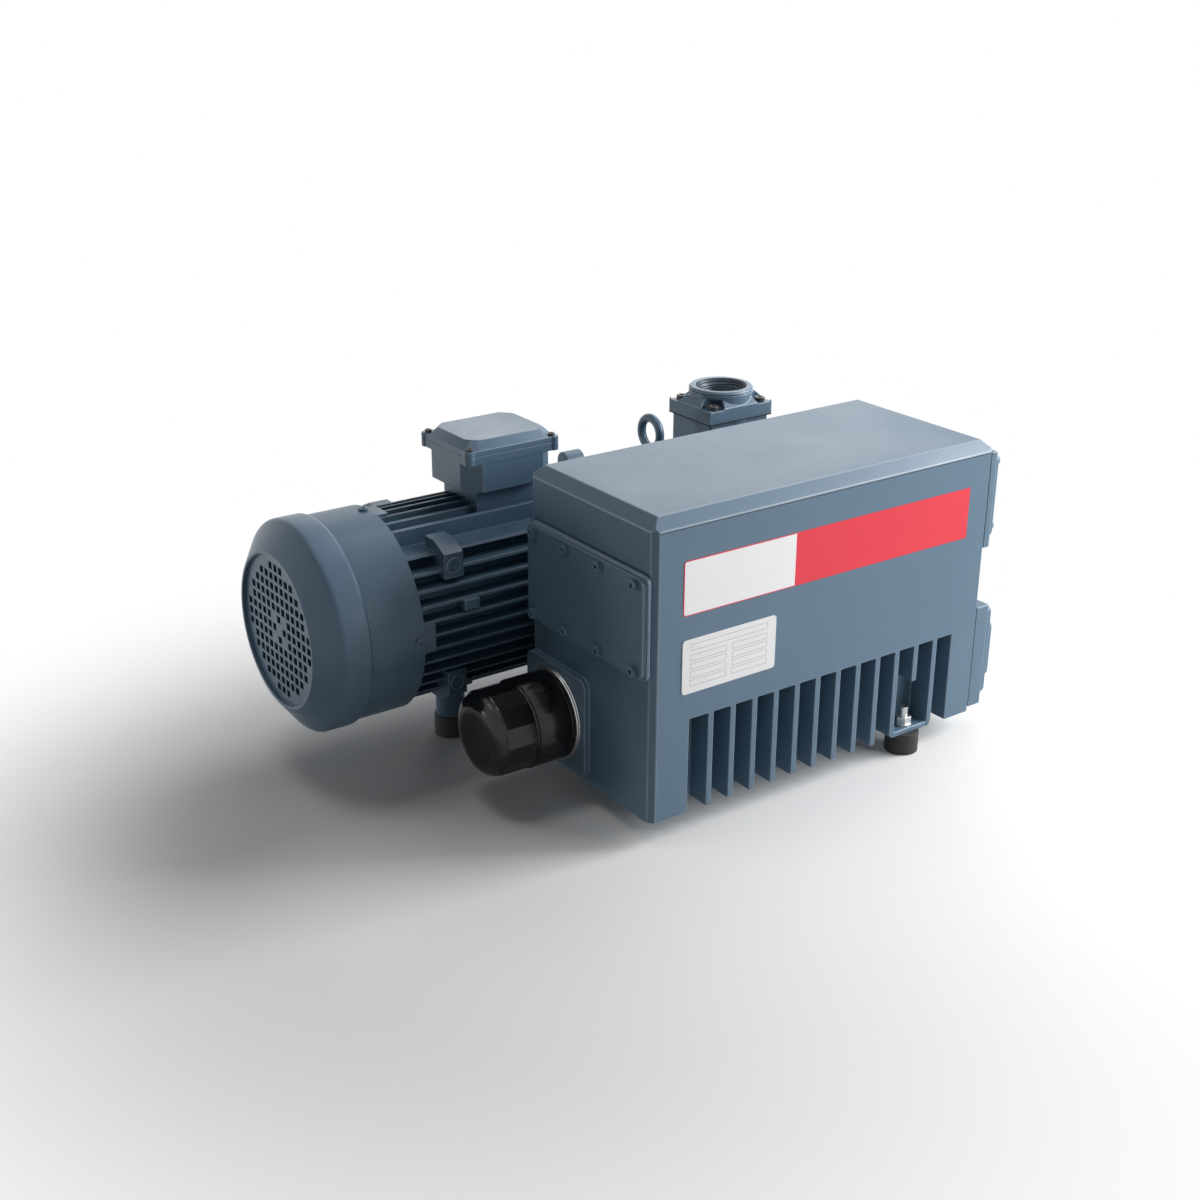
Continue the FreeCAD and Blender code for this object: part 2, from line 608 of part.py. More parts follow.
def make_cartridges():
    cartridges = []
    for step in range(2):
        y = "cartridge_y + %d * cartridge_step" % step
        sleeve = tube("cartridge_radius", "cartridge_bore", "cartridge_length - cartridge_cap",
                      "housing_wall", y, "cartridge_z")
        cap = rod("cartridge_radius", "cartridge_cap", "housing_wall + cartridge_length - cartridge_cap", y,
                  "cartridge_z")
        cartridges.append(join(sleeve, cap))
    piece("exhaust_filters", group(*cartridges))
    springs = []
    for step in range(2):
        y = "cartridge_y + %d * cartridge_step" % step
        springs.append(join(
            tube("cartridge_radius - 4", "cartridge_bore", "spring_thickness",
                 "housing_wall - spring_thickness", y, "cartridge_z"),
            block("housing_wall - spring_thickness", "4", "2 * cartridge_radius - 22", "0",
                  "%s - 2 - cartridge_bore - 3" % y, "cartridge_z - cartridge_radius + 11"),
            block("housing_wall - spring_thickness", "4", "2 * cartridge_radius - 22", "0",
                  "%s - 2 + cartridge_bore + 3" % y, "cartridge_z - cartridge_radius + 11")))
    piece("filter_retaining_springs", group(*springs))


# Covers on the right end: the outlet above, the oil sump below

def end_plate(plate, x, thickness):
    y, width, z, height = plate
    return rounded(block(thickness, width, height, x, y, z), ALONG_X, "cover_round")


def make_end_covers():
    outlet_x = "housing_length + outlet_pad"
    sump_x = "housing_length + sump_pad"
    outlet_y = "outlet_y + outlet_width / 2"
    outlet_holes = [rod("bolt_radius + running_gap / 2", "4 * outlet_thickness", "housing_length", y, z)
                    for y, z in OUTLET_BOLTS]
    outlet_port = rod("outlet_port_radius", "6 * outlet_thickness", "housing_length", outlet_y,
                      "outlet_port_z")
    gaskets.append(cut(end_plate(OUTLET_PLATE, outlet_x, "gasket_thickness"),
                               window_through(OUTLET_PLATE, "(2 * outlet_bolt_inset)", "housing_length",
                                              "2 * outlet_thickness"),
                               *outlet_holes))
    cover = bevelled(end_plate(OUTLET_PLATE, outlet_x + " + gasket_thickness", "outlet_thickness"),
                     SIZE["outlet_bevel"], "XMax")
    piece("outlet_cover", cut(cover, outlet_port, *outlet_holes))
    outlet_face = outlet_x + " + gasket_thickness + outlet_thickness"
    cover_screws.extend([cap_screw(outlet_face, y, z, "outlet_thickness + bolt_radius * 2", forward=False)
                         for y, z in OUTLET_BOLTS])

    sump_holes = [rod("bolt_radius + running_gap / 2", "6 * sump_thickness", "housing_length", y, z) for y,
                  z in SUMP_BOLTS]
    gaskets.append(cut(end_plate(SUMP_PLATE, sump_x, "gasket_thickness"),
                                   window_through(SUMP_PLATE, "(2 * outlet_bolt_inset)", "housing_length",
                                                  "4 * sump_thickness"),
                                   *sump_holes))
    y, width, z, height = SUMP_PLATE
    hub = bevelled(rounded(block("hub_thickness", "%s - 2 * hub_inset" % width, "hub_height",
                        sump_x + " + gasket_thickness + sump_thickness", "%s + hub_inset" % y, "hub_z"),
                        ALONG_X, "cover_round"),
                   SIZE["hub_bevel"], "XMax")
    cover = join(end_plate(SUMP_PLATE, sump_x + " + gasket_thickness", "sump_thickness"), hub)
    face_x = sump_x + " + gasket_thickness + sump_thickness + hub_thickness"
    glass_seat = rod("glass_ring_radius + running_gap / 2", "glass_ring_depth",
                     face_x + " - glass_ring_depth", "glass_y", "glass_z")
    glass_view = rod("glass_radius - 2", "4 * sump_thickness", "housing_length", "glass_y", "glass_z")
    plug_holes = [rod("plug_radius", "4 * sump_thickness", "housing_length", spot_y, spot_z)
                  for spot_y, spot_z in (("fill_plug_y", "fill_plug_z"), ("drain_plug_y", "drain_plug_z"))]
    piece("sump_cover", cut(cover, glass_seat, glass_view, *(sump_holes + plug_holes)))
    cover_screws.extend([cap_screw(sump_x + " + gasket_thickness + sump_thickness", y, z,
                                   "sump_thickness + bolt_radius * 2", forward=False) for y, z in SUMP_BOLTS])
    piece("housing_cover_screws", group(*cover_screws))

    pane_x = face_x + " - glass_ring_depth"
    piece("sight_glass_pane", rod("glass_radius", "glass_thickness", pane_x, "glass_y", "glass_z"))
    piece("sight_glass_ring", tube("glass_ring_radius", "glass_radius + running_gap / 2", "glass_ring_depth",
                                   pane_x, "glass_y", "glass_z"))
    plugs = []
    for spot_y, spot_z in (("fill_plug_y", "fill_plug_z"), ("drain_plug_y", "drain_plug_z")):
        shank = rod("plug_radius - running_gap / 2", "sump_thickness + hub_thickness",
                    face_x + " - sump_thickness - hub_thickness", spot_y, spot_z)
        plugs.append(join(shank, prism("plug_flats", "plug_head", face_x, spot_y, spot_z)))
    piece("oil_plugs", group(*plugs))


# Spin-on oil filter on the left end

def make_oil_filter():
    face = "-filter_pad"
    ring_x = face + " - filter_ring_depth"
    body_x = "%s - filter_body" % ring_x
    band_x = "%s - filter_flat_band" % body_x
    dome_x = "%s - filter_dome" % band_x
    ring = tube("filter_ring_radius", "nipple_radius + filter_wall", "filter_ring_depth", ring_x, "filter_y",
                "filter_z")
    piece("oil_filter_ring", ring)

    outside = join(
        rod("filter_radius", "filter_body", body_x, "filter_y", "filter_z"),
        common(prism("2 * filter_flat_radius", "filter_flat_band", band_x, "filter_y", "filter_z",
                     sides=int(SIZE["flat_count"])),
               rod("filter_radius", "filter_flat_band", band_x, "filter_y", "filter_z")),
        bevelled(rod("filter_flat_radius", "filter_dome", dome_x, "filter_y", "filter_z"),
                 SIZE["filter_dome"] - SIZE["filter_wall"], "XMin", fillet=True))
    thread = rod("nipple_radius + running_gap / 2", "nipple_length",
                 ring_x + " - nipple_length + filter_ring_depth", "filter_y", "filter_z")
    paper = rod("filter_radius - 4 * filter_wall", "filter_body + filter_flat_band - 8 * filter_wall",
                "%s + 4 * filter_wall" % band_x, "filter_y", "filter_z")
    piece("oil_filter_canister", cut(outside, thread, paper))
    element = tube("filter_radius - 5 * filter_wall", "nipple_radius + 2 * filter_wall",
                   "filter_body + filter_flat_band - 8 * filter_wall - 0.6",
                   "%s + 4 * filter_wall + 0.3" % band_x, "filter_y", "filter_z")
    piece("oil_filter_element", element)
    piece("oil_filter_nipple", tube("nipple_radius", "nipple_bore",
                                    "nipple_length + filter_pad + housing_wall - filter_ring_depth",
                                    ring_x + " - nipple_length + 2 * filter_ring_depth", "filter_y",
                                    "filter_z"))


# Float that lets collected oil back to the pump

def make_float():
    post_x = "float_x + float_length / 2 + lever_length - float_block / 2"
    post_y = "(housing_width - housing_wall - float_radius - float_block)"
    pivot_x = "float_x + float_length / 2 + lever_length"
    pivot_z = "(housing_wall + float_post - 2 * pin_radius)"
    lever_y = "%s + (float_block - lever_width) / 2" % post_y
    post = block("float_block", "float_block", "float_post", post_x, post_y, "housing_wall")
    slit = block("2 * float_block", "lever_width + 1", "4 * pin_radius + 4", post_x + " - float_block / 2",
                 lever_y + " - 0.5", pivot_z + " - 2 * pin_radius - 2")
    pin_hole = rod("pin_radius", "float_block", pivot_x, post_y, pivot_z, "y")
    piece("float_bracket", cut(post, slit, pin_hole))
    piece("float_pin", rod("pin_radius", "float_block", pivot_x, post_y, pivot_z, "y"))
    arm = block("lever_length", "lever_width", "lever_thickness", "float_x + float_length / 2", lever_y,
                pivot_z + " - lever_thickness / 2")
    eye = rod("pin_radius + lever_thickness", "lever_width", pivot_x, lever_y, pivot_z, "y")
    bore = rod("pin_radius + shaft_fit", "lever_width", pivot_x, lever_y, pivot_z, "y")
    piece("float_lever", cut(join(arm, eye), bore))
    float_y = lever_y + " + lever_width / 2"
    piece("float_body", cut(rod("float_radius", "float_length", "float_x - float_length / 2", float_y,
                                pivot_z),
                            rod("float_radius - 1", "float_length - 2", "float_x - float_length / 2 + 1",
                                float_y, pivot_z)))


# Pump cylinder, its end plates, rotor and vanes

def make_cylinder():
    length = "cylinder_length"
    barrel = rod("bore_radius + cylinder_wall", length, CYLINDER_X, BORE_Y, BORE_Z)
    plate = block("mount_length", "mount_plate", "mount_height", MOUNT_X, "housing_width + gasket_thickness",
                  MOUNT_Z)
    bridge = block(length, "axis_y - housing_width - gasket_thickness", "window_height", CYLINDER_X,
                   "housing_width + gasket_thickness", "axis_z - window_height / 2")
    neck = rod("neck_radius", "flange_seat_z - axis_z", "intake_x", "axis_y", "axis_z", "z")
    eye_boss = rod("eye_boss_radius", "eye_seat_z - axis_z", "eye_x", "axis_y", "axis_z", "z")
    leg = rod("leg_radius", "axis_z", "rear_foot_x", "rear_foot_y", "0", "z")
    casting = join(barrel, plate, bridge, neck, eye_boss, leg)
    tools = [rod("bore_radius", length, CYLINDER_X, BORE_Y, BORE_Z),
             rod("inlet_bore", "flange_seat_z - axis_z", "intake_x", "axis_y", "axis_z", "z"),
             rod("stud_radius", "eye_shank + 1", "eye_x", "axis_y", "eye_seat_z - eye_shank - 1", "z"),
             rod("stud_radius", "stud_rise", "rear_foot_x", "rear_foot_y", "0", "z")]
    for number in range(int(SIZE["port_count"])):
        offset = number - (SIZE["port_count"] - 1) / 2
        tools.append(rod("port_radius", "axis_y - housing_width - gasket_thickness",
                         "%s + cylinder_length / 2 + %s * port_pitch" % (CYLINDER_X, offset),
                         "housing_width + gasket_thickness", "axis_z", "y"))
    for x, z in MOUNT_BOLTS:
        tools.append(rod("bolt_radius + running_gap / 2", "3 * mount_plate", x, "housing_width", z, "y"))
    for x, y in flange_screws():
        tools.append(rod("bolt_radius + running_gap / 2", "mount_plate * 2", x, y,
                         "flange_seat_z - 2 * mount_plate", "z"))
    seat = rounded(block("flange_length - 2 * neck_inset", "flange_width - 2 * neck_inset",
                         "flange_seat_z - axis_z - bore_radius", "intake_x - flange_length / 2 + neck_inset",
                         "axis_y - flange_width / 2 + neck_inset", "axis_z + bore_radius"), ALONG_Z,
                         "flange_round")
    tools.append(rod("valve_radius + 1", "valve_room", "intake_x", "axis_y", "flange_seat_z - valve_room",
                     "z"))
    piece("pump_cylinder", cut(join(casting, seat), *tools))


def flange_screws():
    spots = []
    for across in (-1, 1):
        for along in (-1, 1):
            spots.append(("intake_x + %d * (flange_length / 2 - screw_inset)" % across,
                          "axis_y + %d * (flange_width / 2 - screw_side_inset)" % along))
    return spots


def side_plate_bolts():
    circle = "(bore_radius + cylinder_wall / 2)"
    return [("%s + %s * cos(%d)" % (BORE_Y, circle, angle), "%s + %s * sin(%d)" % (BORE_Z, circle, angle))
            for angle in range(30, 390, 60)]


def make_end_plates():
    bushes = []
    for name, x in (("motor_side", CYLINDER_X + " - side_plate"), ("outer", CYLINDER_END)):
        disc = rod("side_plate_radius", "side_plate", x, BORE_Y, BORE_Z)
        bush_seat = rod("pump_shaft_radius + bush_wall", "2 * side_plate", x + " - side_plate / 2", "axis_y",
                        "axis_z")
        holes = []
        for y, z in side_plate_bolts():
            holes.append(rod("bolt_radius + running_gap / 2", "side_plate", x, y, z))
            if name == "motor_side":
                holes.append(rod("bolt_head_radius + running_gap", "bolt_head_height", x, y, z))
        plate = cut(disc, bush_seat, *holes)
        piece("side_plate_" + name, plate)
        bushes.append(tube("pump_shaft_radius + bush_wall", "pump_shaft_radius + shaft_fit", "side_plate", x,
                           "axis_y", "axis_z"))
    piece("shaft_bushes", group(*bushes))
    for y, z in side_plate_bolts():
        pump_screws.append(cap_screw(CYLINDER_END + " + side_plate", y, z, "side_plate", forward=False))
        pump_screws.append(cap_screw(CYLINDER_X + " - side_plate + bolt_head_height", y, z,
                                     "side_plate - bolt_head_height"))
    cap_x = CYLINDER_END + " + side_plate"
    cap = rod("end_cap_radius", "end_cap", cap_x, "axis_y", "axis_z")
    piece("bearing_cap", cut(cap,
                             rod("pump_shaft_radius + bush_wall", "end_cap / 2", cap_x, "axis_y", "axis_z")))
    seal_x = CYLINDER_X + " - side_plate - seal_width"
    piece("shaft_seal", tube("seal_radius", "pump_shaft_radius + running_gap", "seal_width", seal_x, "axis_y",
                             "axis_z"))


VANE_REST = "(rotor_radius - vane_sink)"


def vane_angles():
    first = SIZE["tangent_angle"] + 180
    return [first + number * 360 / SIZE["vane_count"] for number in range(int(SIZE["vane_count"]))]


def make_rotor():
    core_x = CYLINDER_X + " + rotor_gap"
    core_length = "cylinder_length - 2 * rotor_gap"
    shaft_x = CYLINDER_X + " - side_plate - seal_width - hub_length"
    shaft = rod("pump_shaft_radius",
                "hub_length + seal_width + 2 * side_plate + cylinder_length + end_cap / 4",
                shaft_x, "axis_y", "axis_z")
    slots = [spoke(angle, VANE_REST + " - vane_height - slot_spare", "rotor_radius + 2",
                   "vane_thickness + 2 * vane_gap",
                   core_x + " - 1", core_length + " + 2") for angle in vane_angles()]
    piece("pump_rotor", join(cut(rod("rotor_radius", core_length, core_x, "axis_y", "axis_z"), *slots),
                             shaft))
    for number, angle in enumerate(vane_angles(), 1):
        piece("vane_%d" % number, spoke(angle, VANE_REST + " - vane_height", VANE_REST, "vane_thickness",
                                        core_x, core_length))


# Exhaust reeds and their stop, on the cylinder's front inside the housing

def make_exhaust_valve():
    reed_x = CYLINDER_X + " + (cylinder_length - reed_length) / 2"
    seat_y = "housing_width + gasket_thickness"
    gasket = block("mount_length", "gasket_thickness", "mount_height", MOUNT_X, "housing_width", MOUNT_Z)
    window = block("window_length", "3 * gasket_thickness", "window_height",
                   "%s + cylinder_length / 2 - window_length / 2" % CYLINDER_X,
                   "housing_width - gasket_thickness",
                   "axis_z - window_height / 2")
    holes = [rod("bolt_radius + running_gap / 2", "3 * gasket_thickness", x,
                 "housing_width - gasket_thickness", z, "y")
             for x, z in MOUNT_BOLTS]
    gaskets.append(cut(gasket, window, *holes))
    piece("exhaust_reed", block("reed_length", "reed_thickness", "reed_height", reed_x,
                                seat_y + " - reed_thickness", "axis_z - reed_height / 2"))
    stop_y = seat_y + " - reed_thickness - stop_thickness"
    piece("exhaust_stop",
          block("reed_length", "stop_thickness", "reed_height", reed_x, stop_y, "axis_z - reed_height / 2"))
    pump_screws.extend([cap_screw(x, "housing_width - housing_wall", z, "housing_wall + mount_plate", "y")
                        for x, z in MOUNT_BOLTS])


# Intake flange with its non-return valve

def flange_plan(height, z):
    return block("flange_length", "flange_width", height, "intake_x - flange_length / 2",
                 "axis_y - flange_width / 2", z)


def make_intake():
    top_z = "flange_seat_z + gasket_thickness + flange_height"
    base = bevelled(flange_plan("flange_height", "flange_seat_z + gasket_thickness"), SIZE["flange_bevel"],
                    "ZMax")
    mouth_z = top_z + " + collar_height"
    collar = join(rod("collar_radius", "collar_height - collar_bevel + flange_bevel", "intake_x", "axis_y",
                      top_z + " - flange_bevel", "z"),
                  taper("collar_radius", "collar_radius - collar_bevel", "collar_bevel", "intake_x", "axis_y",
                        mouth_z + " - collar_bevel", "z"))
    groove = tube("collar_radius + 1", "collar_radius - collar_groove", "collar_groove", "intake_x", "axis_y",
                  top_z + " + collar_height / 2", "z")
    seat_z = mouth_z + " - intake_depth"
    screen_z = seat_z + " - screen_thickness - screen_recess"
    tools = [groove, rod("intake_thread_radius", "intake_depth + 1", "intake_x", "axis_y", seat_z, "z"),
             taper("intake_thread_radius", "intake_mouth_radius", "mouth_chamfer", "intake_x", "axis_y",
                   mouth_z + " - mouth_chamfer", "z"),
             rod("inlet_bore - 2", "flange_height + collar_height", "intake_x", "axis_y", "flange_seat_z",
                 "z"),
             rod("intake_thread_radius - 0.9", "screen_thickness + screen_recess", "intake_x", "axis_y",
                 screen_z, "z")]
    for x, y in flange_screws():
        floor_z = top_z + " - pocket_depth"
        tools.append(rod("pocket_radius", "pocket_depth", x, y, floor_z, "z"))
        tools.append(rod("bolt_radius + running_gap / 2", "flange_height * 2", x, y, "flange_seat_z - 1",
                         "z"))
        depth = "flange_height - pocket_depth + gasket_thickness + bolt_length / 2"
        pump_screws.append(cap_screw(x, y, floor_z, depth, "z", forward=False))
    piece("intake_flange", cut(join(base, collar), *tools))
    piece("pump_screws", group(*pump_screws))
    holes = [rod("bolt_radius + running_gap / 2", "gasket_thickness", x, y, "flange_seat_z", "z")
             for x, y in flange_screws()]
    gaskets.append(cut(flange_plan("gasket_thickness", "flange_seat_z"),
                       rod("valve_radius + 1", "gasket_thickness", "intake_x", "axis_y", "flange_seat_z",
                           "z"), *holes))
    valve_z = "flange_seat_z + gasket_thickness - valve_thickness - running_gap"
    stem = "(2 * valve_travel + 8)"
    valve = join(rod("valve_radius", "valve_thickness", "intake_x", "axis_y", valve_z, "z"),
                 rod("valve_guide", stem, "intake_x", "axis_y", "%s - %s" % (valve_z, stem), "z"))
    piece("non_return_valve", valve)
    bridge_z = valve_z + " - spring_length - bridge_height"
    ring = tube("inlet_bore", "inlet_bore - 2.5", "bridge_height", "intake_x", "axis_y", bridge_z, "z")
    bar = block("2 * inlet_bore - 3", "bridge_height", "bridge_height", "intake_x - inlet_bore + 1.5",
                "axis_y - bridge_height / 2", bridge_z)
    piece("valve_guide_bridge",
          cut(join(ring, bar), rod("valve_guide + 0.1", "bridge_height", "intake_x", "axis_y",
                                                         bridge_z, "z")))
    piece("valve_spring", tube("valve_guide + 3", "valve_guide + 1.4", "spring_length", "intake_x", "axis_y",
                               bridge_z + " + bridge_height", "z"))
    piece("intake_screen",
          rod("intake_thread_radius - 1.2", "screen_thickness", "intake_x", "axis_y", screen_z, "z"))


def make_lifting_eye():
    ring_z = "eye_seat_z + eye_collar_height + eye_outer_radius - 1"
    ring = doc.addObject("Part::Torus", "EyeRing")
    ring.Placement = Placement(Vector(), LYING["x"])
    tie(ring, Radius1="(eye_outer_radius + eye_inner_radius) / 2",
        Radius2="(eye_outer_radius - eye_inner_radius) / 2")
    place(ring, "eye_x", "axis_y", ring_z)
    collar = taper("eye_collar_radius", "eye_collar_radius - 3", "eye_collar_height", "eye_x", "axis_y",
                   "eye_seat_z", "z")
    shank = rod("stud_radius - 0.05", "eye_shank", "eye_x", "axis_y", "eye_seat_z - eye_shank", "z")
    piece("lifting_eye", join(ring, collar, shank))


# Claw coupling between the two shafts

def claws(x, start):
    spacing = 360 / SIZE["claw_count"]
    return [sector("hub_radius", "claw_length", start + number * spacing, "claw_angle", x)
            for number in range(int(SIZE["claw_count"]))]


def make_coupling():
    pump_hub_x = CYLINDER_X + " - side_plate - seal_width - hub_length - claw_gap"
    motor_hub_x = "%s - claw_length - 2 * claw_gap - hub_length" % pump_hub_x
    gap_x = "%s + hub_length" % motor_hub_x
    half_turn = 180 / SIZE["claw_count"]
    motor_hub = cut(join(rod("hub_radius", "hub_length", motor_hub_x, "axis_y", "axis_z"),
                         *claws(gap_x, SIZE["claw_turn"])),
                    rod("claw_bore", "claw_length + 1", gap_x, "axis_y", "axis_z"),
                    rod("shaft_radius", "hub_length", motor_hub_x, "axis_y", "axis_z"))
    piece("coupling_motor_half", motor_hub)
    pump_hub = cut(join(rod("hub_radius", "hub_length", pump_hub_x, "axis_y", "axis_z"),
                        *claws(pump_hub_x + " - claw_length", SIZE["claw_turn"] + half_turn)),
                   rod("claw_bore", "claw_length + 1", pump_hub_x + " - claw_length - 1", "axis_y", "axis_z"),
                   rod("pump_shaft_radius", "hub_length + 1", pump_hub_x + " - 0.5", "axis_y", "axis_z"))
    piece("coupling_pump_half", pump_hub)
    first_tooth = SIZE["claw_turn"] - (half_turn - SIZE["claw_angle"] + SIZE["spider_angle"]) / 2
    teeth = [sector("hub_radius - 1", "claw_length - 1", first_tooth + number * half_turn, "spider_angle",
                    gap_x + " + claw_gap + 0.5") for number in range(2 * int(SIZE["claw_count"]))]
    core = rod("claw_bore - 1", "claw_length - 1", gap_x + " + claw_gap + 0.5", "axis_y", "axis_z")
    piece("coupling_spider", join(core, *teeth))


# Motor: finned frame, wound stator, rotor on its shaft, end shields, fan and cowl

FRAME_END = "(frame_start_x + frame_length)"


def motor_pad(across, level):
    """One of the four bosses for bolted-on feet: its solids and its thread's hole."""
    face = "axis_y + %d * pad_reach" % across
    slope = "axis_y + %d * (pad_reach - pad_slope)" % across
    heights = ["axis_z + %d * %s" % (level, name)
               for name in ("pad_low", "pad_high", "(pad_high + pad_rise)")]
    near = (heights[0], heights[1]) if level > 0 else (heights[1], heights[0])
    far = (heights[0], heights[2]) if level > 0 else (heights[2], heights[0])
    root = "axis_y + %d * pad_low" % across
    ring_z = "axis_z + %d * (pad_low + pad_high) / 2" % level
    if across < 0:
        front = wedge("pad_width", "pad_x", face, slope, near, far)
        back = block("pad_width", "pad_reach - pad_slope - pad_low", "pad_high + pad_rise - pad_low", "pad_x",
                     slope, far[0])
        start, reach = face + " - pad_ring", face + " - pad_ring"
    else:
        front = wedge("pad_width", "pad_x", slope, face, far, near)
        back = block("pad_width", "pad_reach - pad_slope - pad_low", "pad_high + pad_rise - pad_low", "pad_x",
                     root, far[0])
        start, reach = face, face + " - 2 * pad_ring_radius + pad_ring"
    ring = rod("pad_ring_radius", "pad_ring", "pad_x + pad_width / 2", start, ring_z, "y")
    hole = rod("pad_thread_radius", "2 * pad_ring_radius", "pad_x + pad_width / 2", reach, ring_z, "y")
    return [front, back, ring], hole


def make_motor_frame():
    barrel = rod("frame_radius", "frame_length", "frame_start_x", "axis_y", "axis_z")
    fins = []
    for number in range(int(SIZE["side_fin_count"])):
        offset = number - (SIZE["side_fin_count"] - 1) / 2
        fins.append(block("frame_length", "2 * fin_radius", "fin_thickness", "frame_start_x",
                          "axis_y - fin_radius",
                          "axis_z + %s * fin_pitch - fin_thickness / 2" % offset))
    for number in range(int(SIZE["top_fin_count"])):
        offset = number - (SIZE["top_fin_count"] - 1) / 2
        fins.append(block("frame_length", "fin_thickness", "2 * fin_radius", "frame_start_x",
                          "axis_y + %s * top_fin_pitch - fin_thickness / 2" % offset, "axis_z - fin_radius"))
    pads, threads = [], []
    for across in (-1, 1):
        for level in (-1, 1):
            solids, hole = motor_pad(across, level)
            pads.extend(solids)
            threads.append(hole)
    for angle in (0, 90, 180, 270):
        pads.append(spoke(angle, "frame_bore + 2", "cowl_radius - cowl_wall - running_gap", "lug_width",
                          "frame_start_x", "lug_length"))
    pads.append(block("earth_boss_width", "fin_radius - frame_bore - 2", "earth_boss_height", "earth_boss_x",
                      "axis_y - fin_radius",
                      "axis_z + earth_boss_z"))
    seat = block("box_length * 0.7", "box_width * 0.72", "box_seat_z - axis_z", "box_x - box_length * 0.35",
                 "axis_y - box_width * 0.36", "axis_z")
    foot_pad = block("foot_pad_z", "foot_pad_z", "axis_z - foot_pad_z", "motor_foot_x - foot_pad_z / 2",
                     "motor_foot_y - foot_pad_z / 2", "foot_pad_z")
    finned = common(join(barrel, *fins),
                    rod("fin_radius", "frame_length", "frame_start_x", "axis_y", "axis_z"))
    solid = join(finned, seat, foot_pad, *pads)
    piece("motor_frame", cut(solid, rod("frame_bore", "frame_length", "frame_start_x", "axis_y", "axis_z"),
                             rod("stud_radius", "stud_rise", "motor_foot_x", "motor_foot_y", "foot_pad_z",
                                 "z"), *threads))
    pillar = cut(rod("leg_radius", "foot_pad_z", "motor_foot_x", "motor_foot_y", "0", "z"),
                 rod("stud_radius", "foot_pad_z", "motor_foot_x", "motor_foot_y", "0", "z"))
    piece("motor_foot_pillar", pillar)


def make_stator():
    piece("stator_core", tube("frame_bore", "stator_bore", "stator_length", "stator_x", "axis_y", "axis_z"))
    windings = []
    for x in ("stator_x - winding_length", "stator_x + stator_length"):
        windings.append(tube("winding_radius", "winding_bore", "winding_length", x, "axis_y", "axis_z"))
    piece("stator_windings", group(*windings))


def make_motor_rotor():
    core = rod("stator_bore - core_gap", "stator_length", "stator_x", "axis_y", "axis_z")
    shaft_start = "frame_start_x - shield_thickness - fan_gap - fan_width"
    motor_hub_end = CYLINDER_X + " - side_plate - seal_width - hub_length - 3 * claw_gap - claw_length"
    piece("motor_rotor_core", cut(core, rod("shaft_radius", "stator_length", "stator_x", "axis_y", "axis_z")))
    piece("motor_shaft", rod("shaft_radius", "%s - (%s)" % (motor_hub_end, shaft_start), shaft_start,
                             "axis_y", "axis_z"))
    hub = tube("fan_hub_radius", "shaft_radius", "fan_width", shaft_start, "axis_y", "axis_z")
    blades = [spoke(number * 360 / SIZE["fan_blades"], "fan_hub_radius - 2", "fan_radius", "fan_blade",
                    shaft_start, "fan_width")
              for number in range(int(SIZE["fan_blades"]))]
    disc = tube("fan_radius * 0.85", "shaft_radius", "fan_blade", shaft_start + " + fan_width - fan_blade",
                "axis_y", "axis_z")
    piece("cooling_fan", join(hub, disc, *blades))


def make_shields():
    rear_x = "frame_start_x - shield_thickness"
    lugs = [common(spoke(angle, "shield_radius - 6", "cowl_radius", "lug_width", rear_x, "shield_thickness"),
                   rod("cowl_radius - cowl_wall - running_gap", "shield_thickness", rear_x, "axis_y",
                       "axis_z"))
            for angle in (0, 90, 180, 270)]
    bites = [rod("cowl_screw_radius / 2 + 0.2", "2 * cowl_radius + 10", COWL_SCREW_X, y, z, along)
             for y, z, along in COWL_SCREWS]
    middle = rod("shield_radius - 6", "shield_thickness", rear_x, "axis_y", "axis_z")
    drilled = cut(join(rod("shield_radius", "shield_thickness", rear_x, "axis_y", "axis_z"), *lugs), *bites)
    rear = cut(join(drilled, middle,
                    rod("bearing_radius + bearing_bore_wall", "bearing_width", "frame_start_x", "axis_y",
                        "axis_z")),
               rod("bearing_radius", "bearing_width", "frame_start_x", "axis_y", "axis_z"),
               rod("shaft_radius + running_gap", "2 * shield_thickness", rear_x + " - 1", "axis_y", "axis_z"))
    piece("rear_shield", rear)
    front = cut(join(rod("fin_radius", "drive_shield", FRAME_END, "axis_y", "axis_z"),
                     rod("bearing_radius + bearing_bore_wall", "bearing_width",
                         FRAME_END + " - bearing_width", "axis_y", "axis_z")),
                rod("bearing_radius", "bearing_width", FRAME_END + " - bearing_width", "axis_y", "axis_z"),
                rod("shaft_radius + running_gap", "2 * drive_shield", FRAME_END + " - 1", "axis_y", "axis_z"))
    piece("drive_shield", front)
    bearings = [tube("bearing_radius", "shaft_radius + shaft_fit", "bearing_width", x, "axis_y", "axis_z")
                for x in ("frame_start_x", FRAME_END + " - bearing_width")]
    piece("motor_bearings", group(*bearings))


def make_bell():
    bell_x = FRAME_END + " + drive_shield"
    barrel = rod("bell_radius", "bell_length", bell_x, "axis_y", "axis_z")
    flange = rod("fin_radius", "bell_flange", bell_x, "axis_y", "axis_z")
    lug = rod("bell_lug_radius", "2 * bell_lug_radius", bell_x + " + bell_lug_x - 2 * bell_lug_radius",
              "axis_y",
              "axis_z + bell_lug_rise - bell_lug_radius")
    lug_web = block("2 * bell_lug_radius", "2 * bell_lug_radius", "bell_lug_rise - bell_lug_radius",
                    bell_x + " + bell_lug_x - 2 * bell_lug_radius", "axis_y - bell_lug_radius", "axis_z")
    hollow = rod("bell_radius - bell_wall", "bell_length", bell_x, "axis_y", "axis_z")
    piece("coupling_housing", cut(join(barrel, flange, lug, lug_web), hollow))


